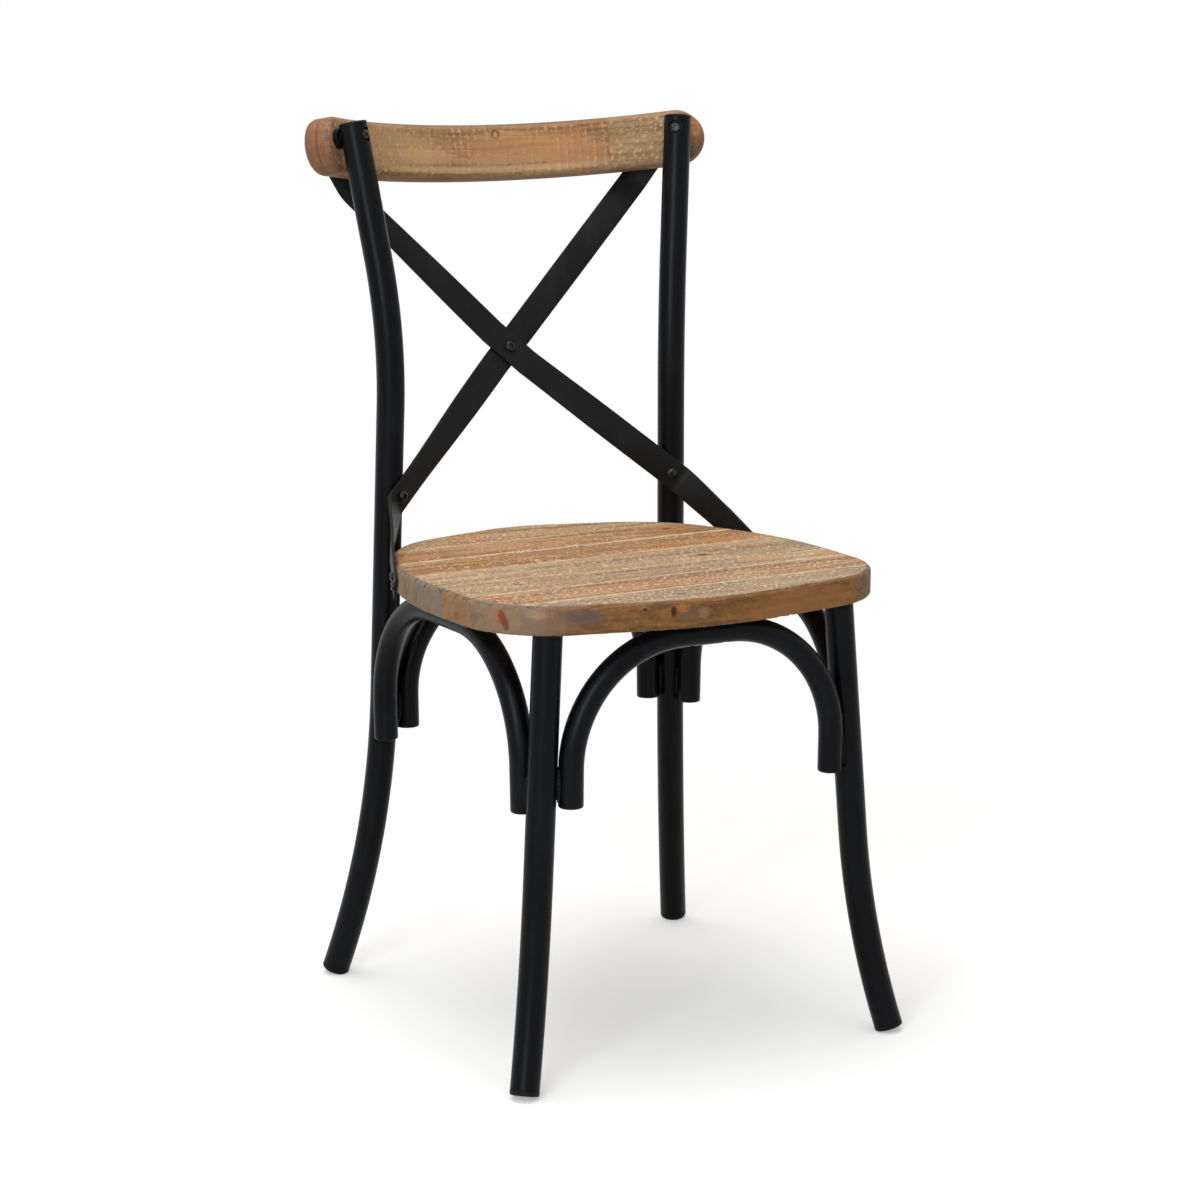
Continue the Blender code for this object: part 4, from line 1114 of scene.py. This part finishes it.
for word, side in SIDES.items():
    axis = post_centre(side, RAIL_BOLT_Z)
    back = rail.outward(side * rail.bolt_angle)
    recess = LEG_RADIUS - BUSHING_RECESS + GAP
    reach = 2 * LEG_RADIUS
    drilled(post_tubes[side], [(axis - back * reach, back, 2 * reach, BUSHING_RADIUS + GAP)])
    fastener("rail_bolt_" + word, frame_along(axis - back * recess, -back), BOLT_RADIUS,
             recess + LEG_RADIUS + BUSHING_FLANGE + 2 * GAP + RAIL_BOLT_DEPTH, BOLT_HEAD)
for name, look in (("cross_nut", bolt_steel), ("rail_bushing_left", steel), ("rail_bushing_right", steel)):
    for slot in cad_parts[name].material_slots:
        slot.material = look


# Seat

MARK_DEPTH = 0.004
CHIP_REACH = 0.0030
CHIP_DROP = 0.0006
CHIP_DEPTH = 0.0034
SEAT_CHIPS_PER_METRE = 190.0
CHIPPED_X = -0.17
CHIPPED_Y = (-0.18, -0.08)


def mark(centre, radii, colour, strength, kind="plain_patch"):
    return centre, radii, colour, strength, kind


def on_top(x, y, length, width, colour, strength, kind="plain_patch"):
    """A mark on the seat's top, by its half length along the grain and its half width."""
    return (x, y, SEAT_TOP), (length, width, MARK_DEPTH), colour, strength, kind


def on_rail(x, height, length, width, colour, strength, kind="plain_patch"):
    """A mark on the rail's front, by its half length along the grain and its half width."""
    return (x, height, RAIL_THICKNESS), (length, width, 2 * MARK_DEPTH), colour, strength, kind


def chipping(spot, least):
    """How deep a chip is, where the noise is over least."""
    return max(0.0, noise.noise(spot) - least) * CHIP_REACH


def seat_wear(point, amount, upper):
    """How far the seat's edge has worn inwards and down.

    It is chipped most towards the front of its right side.
    """
    if amount <= 0.0:
        return 0.0, 0.0
    chip = chipping(point * SEAT_CHIPS_PER_METRE, 0.18)
    if upper and point.x < CHIPPED_X and CHIPPED_Y[0] < point.y < CHIPPED_Y[1]:
        chip *= 1.9
    slow = abs(ripple(point, 0.03, 0.0005))
    return amount * (0.0002 + chip * 0.8 + slow), amount * (0.0002 + chip + slow * 0.5)


TAN = ((0.287, 0.165, 0.079), (0.45, 0.276, 0.136), (0.555, 0.366, 0.192), (0.479, 0.237, 0.086))
ORANGE = ((0.249, 0.121, 0.045), (0.412, 0.219, 0.086), (0.517, 0.308, 0.137), (0.421, 0.17, 0.05))
GREY = ((0.297, 0.196, 0.111), (0.432, 0.288, 0.16), (0.531, 0.375, 0.222), (0.432, 0.259, 0.126))
PINK = ((0.282, 0.16, 0.084), (0.414, 0.245, 0.126), (0.502, 0.327, 0.181), (0.44, 0.204, 0.087))
PALE = ((0.282, 0.198, 0.119), (0.414, 0.286, 0.164), (0.519, 0.396, 0.25), (0.396, 0.255, 0.131))
END_TAN = ((0.269, 0.172, 0.099), (0.168, 0.099, 0.055), (0.218, 0.16, 0.109))
END_ORANGE = ((0.301, 0.164, 0.078), (0.194, 0.094, 0.043), (0.267, 0.13, 0.056))
END_GREY = ((0.258, 0.181, 0.109), (0.172, 0.119, 0.076), (0.198, 0.157, 0.122))
KNOT = (0.07, 0.03, 0.014)
RUST = (0.3, 0.085, 0.028)
SMOKE = (0.165, 0.13, 0.115)
BOARDS = (
    (PALE, END_GREY, (
        on_top(-0.0308, -0.2335, 0.0055, 0.0022, KNOT, 0.9, "knot"),
        mark((-0.059, -0.256, 0.4435), (0.008, 0.01, 0.007), (0.27, 0.11, 0.038), 0.45),
        mark((-0.0088, -0.2615, 0.4513), (0.011, 0.01, 0.001), (0.24, 0.09, 0.035), 0.8),
        mark((-0.0801, -0.2531, 0.4499), (0.0026, 0.01, 0.0013), (0.03, 0.012, 0.008), 0.97),
        mark((-0.14, -0.239, 0.4455), (0.027, 0.016, 0.008), (0.12, 0.086, 0.07), 0.75),
        mark((-0.034, -0.26, 0.4425), (0.013, 0.016, 0.008), (0.17, 0.105, 0.063), 0.55),
        mark((-0.0222, -0.2615, 0.4435), (0.0064, 0.01, 0.0058), (0.37, 0.205, 0.095), 0.42),
        mark((-0.156, -0.23, 0.456), (0.026, 0.01, 0.006), SMOKE, 0.35),
        mark((-0.17, -0.228, 0.439), (0.024, 0.02, 0.013), (0.205, 0.135, 0.088), 0.6),
        mark((-0.177, -0.225, 0.45), (0.01, 0.01, 0.0055), (0.46, 0.31, 0.175), 0.4),
        mark((-0.12, -0.256, 0.434), (0.01, 0.02, 0.001), (0.2, 0.12, 0.07), 0.6),
        mark((0.165, -0.228, 0.432), (0.014, 0.02, 0.0014), (0.26, 0.11, 0.04), 0.5),
        mark((0.13, -0.256, 0.44), (0.135, 0.03, 0.016), (0.34, 0.15, 0.048), 0.5),
        mark((-0.045, -0.259, 0.4495), (0.009, 0.01, 0.0044), (0.44, 0.17, 0.056), 0.5),
        mark((-0.0515, -0.2576, 0.446), (0.0058, 0.01, 0.008), (0.23, 0.085, 0.03), 0.6),
        mark((-0.0525, -0.2576, 0.4462), (0.003, 0.01, 0.0054), (0.04, 0.012, 0.006), 0.95))),
    (PINK, END_TAN, (
        on_top(-0.186, -0.174, 0.011, 0.006, (0.4, 0.145, 0.045), 0.75),
        on_top(-0.196, -0.162, 0.006, 0.004, RUST, 0.6),
        on_top(0.201, -0.158, 0.012, 0.0032, RUST, 0.8),
        mark((-0.2035, -0.194, 0.448), (0.01, 0.012, 0.007), (0.33, 0.15, 0.085), 0.55),
        mark((-0.2, -0.2, 0.447), (0.0056, 0.0036, 0.006), (0.22, 0.06, 0.022), 0.95),
        mark((-0.199, -0.2022, 0.4425), (0.005, 0.0034, 0.006), (0.19, 0.048, 0.018), 0.95),
        mark((-0.198, -0.2044, 0.438), (0.0046, 0.003, 0.005), (0.16, 0.042, 0.018), 0.95))),
    (GREY, END_ORANGE, (
        on_top(-0.1416, -0.1205, 0.005, 0.0026, (0.17, 0.105, 0.045), 0.9, "knot"),
        on_top(0.128, -0.112, 0.024, 0.011, (0.5, 0.255, 0.1), 0.55),
        on_top(0.205, -0.12, 0.008, 0.018, (0.47, 0.215, 0.095), 0.5))),
    (GREY, END_GREY, (
        on_top(0.0888, -0.0688, 0.006, 0.0042, (0.045, 0.026, 0.014), 0.97, "knot"),
        on_top(0.128, -0.088, 0.005, 0.0022, (0.17, 0.105, 0.06), 0.6),
        on_top(-0.012, -0.064, 0.004, 0.003, (0.24, 0.165, 0.1), 0.5),
        on_top(0.03, -0.06, 0.15, 0.004, (0.36, 0.255, 0.165), 0.25))),
    (ORANGE, END_TAN, (
        on_top(0.12, 0.002, 0.07, 0.008, (0.42, 0.185, 0.068), 0.55),
        on_top(-0.002, 0.014, 0.008, 0.0026, (0.22, 0.1, 0.045), 0.5),
        on_top(-0.008, -0.002, 0.026, 0.005, (0.38, 0.165, 0.06), 0.4))),
    (ORANGE, END_ORANGE, (
        on_top(0.132, 0.08, 0.0056, 0.0036, (0.115, 0.042, 0.018), 0.92, "knot"),
        on_top(0.112, 0.073, 0.026, 0.0044, (0.42, 0.165, 0.06), 0.6),
        on_top(-0.012, 0.077, 0.006, 0.009, (0.46, 0.2, 0.075), 0.6),
        on_top(-0.04, 0.048, 0.008, 0.0022, (0.22, 0.1, 0.045), 0.7),
        on_top(-0.165, 0.052, 0.028, 0.01, (0.47, 0.2, 0.075), 0.55))),
    (TAN, END_TAN, (
        on_top(0.03, 0.128, 0.05, 0.004, (0.46, 0.24, 0.1), 0.4),
        on_top(-0.008, 0.155, 0.006, 0.006, (0.48, 0.27, 0.09), 0.5))),
)
CHIPS = (
    (-0.2134, -0.0148, 0.003), (-0.2164, -0.0501, 0.0042), (-0.2187, -0.0754, 0.0036),
    (-0.2178, -0.1083, 0.0046), (-0.2132, -0.1173, 0.0028), (-0.2148, -0.1371, 0.0036),
    (-0.2088, -0.1594, 0.0048), (-0.2008, -0.1576, 0.003), (-0.198, -0.1854, 0.0034),
)
DIRT = (0.06, 0.048, 0.042)
SEAT_SAW = (0.45, -0.4, -0.3)
BOARD_SHIFT = (0.37, 0.53, 0.19)
# Painted shade for the flanks: the front board's flank is darker than the side flanks, as the two take
# different light.
FRONT_FLANK_SHADE = (0.62, 0.4, 0.21)
SIDE_FLANK_SHADE = (0.68, 0.56, 0.44)
JOINT_LOOKS = ((0.0044, 0.8), (0.0042, 0.72), (0.003, 0.22), (0.0056, 0.6), (0.0062, 0.95), (0.0044, 0.55))
seat_outline = seat_line(math.radians(3))
inside = cad_box[0][1] / min(p.y for p in seat_outline)
outline, normals = resampled([(p.x, p.y * inside if p.y < 0.0 else p.y) for p in seat_outline], OUTLINE_STEP)
edges_y = (-math.inf, *SEAT_JOINTS_Y, math.inf)
seat_up = Vector((-math.sin(SEAT_JOINT_SKEW), math.cos(SEAT_JOINT_SKEW), 0.0))
for number, (tones, end_tones, marks) in enumerate(BOARDS, 1):
    low, high = edges_y[number - 1:number + 1]
    work = plate_work(outline, normals, seat_underside, SEAT_TOP, SEAT_EDGE_RADIUS, seat_wear)
    if number > 1:
        cut_away(work, seat_up * (low + GAP / 6), -seat_up)
    if number < len(BOARDS):
        cut_away(work, seat_up * (high - GAP / 6), seat_up)
    joints = [(y, *look) for y, look in zip(SEAT_JOINTS_Y, JOINT_LOOKS) if y in (low, high)]
    chips = tuple(mark((x, y, SEAT_TOP - CHIP_DROP), (size, size * 0.8, CHIP_DEPTH), DIRT, 0.85)
                  for x, y, size in CHIPS if low < Vector((x, y, 0.0)).dot(seat_up) < high)
    look = wood("seat_wood_%d" % number, tones, end_tones, tuple(size * number for size in BOARD_SHIFT),
                marks + chips, SEAT_SAW, joints=joints, tint=FRONT_FLANK_SHADE if number == 1 else SIDE_FLANK_SHADE)
    finish_piece("plank_%d" % number, work, look, ["seat_board_%d" % number], WOOD_SHARP)


# Top rail

RAIL_CUTS = 96
RAIL_CHIPS_PER_METRE = 150.0


def rail_wear(point, amount, upper):
    """How far the rail's edge has worn inwards and down."""
    if amount <= 0.0:
        return 0.0, 0.0
    slow = ripple(point, 0.045, 0.0009)
    chip = chipping(point * RAIL_CHIPS_PER_METRE + Vector((3.0, 1.0, 2.0)), 0.28)
    return amount * (chip + 0.0003 + max(0.0, slow)), amount * (chip + abs(slow) * 0.4)


RAIL_MARKS = (
    mark((0.0137, 0.0167, RAIL_THICKNESS), (0.004, 0.004, 0.01), (0.105, 0.038, 0.018), 0.95, "ring"),
    # Painted shade: the next two marks darken the front's rounded top edge and the top face.
    mark((0.0, 0.027, RAIL_THICKNESS), (0.26, 0.0042, 0.014), (0.3, 0.15, 0.085), 0.7),
    mark((0.0, 0.029, 0.014), (0.27, 0.0036, 0.026), (0.17, 0.085, 0.042), 0.8),
    on_rail(0.008, 0.0105, 0.042, 0.0016, (0.24, 0.11, 0.052), 0.6),
    on_rail(-0.038, 0.0178, 0.03, 0.0013, (0.22, 0.1, 0.05), 0.5),
    on_rail(0.04, 0.006, 0.08, 0.015, (0.54, 0.27, 0.108), 0.5),
    on_rail(0.1, -0.004, 0.042, 0.018, (0.48, 0.225, 0.095), 0.55),
    on_rail(0.108, 0.012, 0.005, 0.012, (0.4, 0.165, 0.07), 0.5),
    on_rail(-0.07, -0.006, 0.042, 0.009, (0.52, 0.28, 0.122), 0.45),
    on_rail(-0.135, 0.0, 0.09, 0.024, (0.57, 0.35, 0.17), 0.5),
    on_rail(-0.13, 0.013, 0.042, 0.01, (0.38, 0.25, 0.135), 0.5),
    on_rail(0.02, -0.019, 0.15, 0.004, (0.56, 0.38, 0.195), 0.45),
    on_rail(0.025, -0.01, 0.07, 0.0055, (0.43, 0.243, 0.106), 0.75),
    # Painted shadow on the underside and its rounded edge.
    mark((0.0, -0.03, 0.014), (0.26, 0.0065, 0.022), (0.17, 0.09, 0.045), 0.75),
    mark((-0.072, 0.029, 0.024), (0.006, 0.0022, 0.004), (0.15, 0.085, 0.05), 0.7),
    mark((-0.23, 0.012, 0.018), (0.006, 0.01, 0.012), (0.52, 0.25, 0.095), 0.75),
    mark((-0.225, 0.0, 0.015), (0.04, 0.033, 0.0016), (0.12, 0.062, 0.042), 0.75),
    mark((-0.225, 0.002, 0.022), (0.04, 0.033, 0.001), (0.19, 0.095, 0.058), 0.4),
    mark((-0.233, 0.01, 0.021), (0.005, 0.009, 0.004), (0.4, 0.15, 0.055), 0.75),
    mark((-0.2385, -0.004, 0.008), (0.004, 0.02, 0.004), (0.14, 0.085, 0.07), 0.55),
    mark((0.233, 0.004, 0.02), (0.008, 0.012, 0.012), (0.66, 0.255, 0.085), 0.85),
    mark((0.227, -0.006, RAIL_THICKNESS), (0.0025, 0.02, 0.006), (0.22, 0.105, 0.06), 0.75),
)
SHORT_MARKS = RAIL_MARKS[-2:] + (
    # Painted shade on the front's rounded top edge and on the top face, and painted shadow on the underside.
    mark((0.0, 0.0265, RAIL_THICKNESS), (0.4, 0.004, 0.014), (0.36, 0.2, 0.12), 0.55),
    mark((0.0, 0.029, 0.014), (0.4, 0.0036, 0.026), (0.17, 0.085, 0.042), 0.8),
    mark((0.0, -0.03, 0.014), (0.4, 0.0065, 0.022), (0.17, 0.09, 0.045), 0.75),
)
RAIL_TONES = ((0.274, 0.143, 0.062), (0.44, 0.25, 0.116), (0.531, 0.344, 0.18), (0.448, 0.213, 0.084))
SHORT_TONES = ((0.284, 0.171, 0.082), (0.396, 0.243, 0.12), (0.482, 0.319, 0.17), (0.378, 0.207, 0.09))
RAIL_ENDS = ((0.235, 0.118, 0.055), (0.145, 0.068, 0.034), (0.29, 0.115, 0.042))
SHORT_SAW = (0.25, 0.0, 0.1)
RAIL_SAW = (0.9, -0.09, -0.045)
SHORT_NAP = (0.7, 0.7)
RAIL_NAP = (0.3, 0.95)
RAIL_FLANK_DELAY = 0.25
RAIL_END_START = 0.62
RAIL_END_RUN = 0.3
rail_reach = RAIL_HEIGHT / 2 - GAP
round_x = RAIL_HALF_LENGTH - RAIL_HEIGHT / 2
stadium = []
for side in (1, -1):
    for i in range(25):
        angle = side * (math.pi / 2 - math.pi * i / 24)
        stadium.append((side * (round_x + rail_reach * math.cos(angle)), rail_reach * math.sin(angle)))
outline, normals = resampled(stadium, OUTLINE_STEP)
for word, sign, tones, marks, saw, nap in (("left", -1, SHORT_TONES, SHORT_MARKS, SHORT_SAW, SHORT_NAP),
                                           ("right", 1, RAIL_TONES, RAIL_MARKS, RAIL_SAW, RAIL_NAP)):
    work = plate_work(outline, normals, 0.0, RAIL_THICKNESS, RAIL_EDGE_RADIUS, rail_wear)
    end = work.verts.layers.float["end"]
    for v in work.verts:
        beyond = max(0.0, abs(v.co.x) - round_x)
        outward = math.hypot(beyond, v.co.y) / rail_reach
        v[end] = max(v[end] - RAIL_FLANK_DELAY, (outward - RAIL_END_START) / RAIL_END_RUN if beyond else 0.0)
    for x in spaced(-RAIL_HALF_LENGTH, RAIL_HALF_LENGTH, RAIL_CUTS)[1:]:
        everything = list(work.verts) + list(work.edges) + list(work.faces)
        bmesh.ops.bisect_plane(work, geom=everything, plane_co=(x, 0.0, 0.0), plane_no=ACROSS)
    for v in work.verts:
        along, height, depth = v.co
        angle = along / (RAIL_RADIUS + RAIL_THICKNESS / 2)
        v.co = rail.point(angle, RAIL_THICKNESS - GAP / 10 - depth, height)
    cut_away(work, Vector((RAIL_JOINT_X - sign * GAP / 6, 0.0, 0.0)), ACROSS * sign)
    look = wood("rail_wood_" + word, tones, RAIL_ENDS, (1.7 + sign, 2.1, 0.4), marks, saw, nap)
    finish_piece("rail_" + word, work, look, ["top_rail_" + word], WOOD_SHARP)


# Stage

FLOOR_HALF = 14.0
FLOOR_LIFT = 0.34
FLOOR_NEAR = 0.55
FLOOR_FAR = 1.15
PAPER = (0.80, 0.80, 0.80, 1.0)
SKY_LIGHT = 0.34
LAMPS = (
    ("key", (-1.95, -1.95, 1.55), (0.0, 0.0, 0.6), (1.2, 2.0), 44.0, (0.93, 0.965, 1.0)),
    ("top", (-0.2, 0.1, 2.9), (0.0, 0.0, 0.4), (2.2, 2.2), 52.0, (1.0, 0.985, 0.96)),
)
CAMERA_PLACE = (-1.41100, -2.61641, 0.99267)
CAMERA_WAY = (0.468423, 0.862156, -0.193034)
CAMERA_LENS = 91.19186


def seen_directly(p):
    """1 for the rays that show the background: the camera's, and those through gloss and glass."""
    path = p.node("LightPath")
    total = path.outputs["Is Camera Ray"]
    for name in ("Is Glossy Ray", "Is Transmission Ray"):
        total = p.math("MAXIMUM", total, path.outputs[name])
    return total


def paper_floor():
    """White paper: it takes the chair's shadow nearby, and is plain white to the eye further off."""
    p = Paint("paper_floor")
    p.tree.nodes.remove(p.shader)
    seen = seen_directly(p)
    near = p.node("AddShader")
    blend = p.node("MixShader")
    paper = p.node("BsdfDiffuse", Color=PAPER)
    glow = p.node("Emission", Color=WHITE, Strength=p.times(seen, FLOOR_LIFT))
    white = p.node("Emission", Color=WHITE)
    far = p.span(p.vector("LENGTH", p.object_place()), FLOOR_NEAR, FLOOR_FAR)
    p.put(blend.inputs[0], p.times(far, seen))
    surface = p.tree.nodes["Material Output"].inputs["Surface"]
    for shader, socket in ((paper, near.inputs[0]), (glow, near.inputs[1]), (near, blend.inputs[1]),
                           (white, blend.inputs[2]), (blend, surface)):
        p.put(socket, shader.outputs[0])
    return p.material


floor_mesh = bpy.data.meshes.new("studio_floor")
corners = [(x * FLOOR_HALF, y * FLOOR_HALF, 0.0) for x, y in ((-1, -1), (1, -1), (1, 1), (-1, 1))]
floor_mesh.from_pydata(corners, [], [(0, 1, 2, 3)])
floor = linked("studio_floor", floor_mesh)
floor_mesh.materials.append(paper_floor())

for name, place, toward, size, energy, tint in LAMPS:
    lamp = bpy.data.lights.new(name, "AREA")
    lamp.shape = "RECTANGLE"
    lamp.size, lamp.size_y = size
    lamp.energy = energy
    lamp.color = tint
    way = (Vector(toward) - Vector(place)).to_track_quat("-Z", "Y")
    linked(name, lamp).matrix_world = Matrix.LocRotScale(Vector(place), way, None)

world = bpy.data.worlds.new("studio")
bpy.context.scene.world = world
world.use_nodes = True
sky = Wiring(world.node_tree)
background = world.node_tree.nodes["Background"]
strength = sky.node("MapRange", Value=seen_directly(sky), To_Min=SKY_LIGHT, To_Max=1.0)
sky.put(background.inputs["Color"], WHITE)
sky.put(background.inputs["Strength"], strength.outputs[0])

lens = bpy.data.cameras.new("photo_camera")
lens.lens = CAMERA_LENS
lens.sensor_width = 36.0
camera = linked("photo_camera", lens)
camera.location = CAMERA_PLACE
camera.rotation_mode = "QUATERNION"
camera.rotation_quaternion = Vector(CAMERA_WAY).to_track_quat("-Z", "Y")
bpy.context.scene.camera = camera
bpy.context.scene.view_settings.view_transform = "Standard"

bpy.context.view_layer.update()
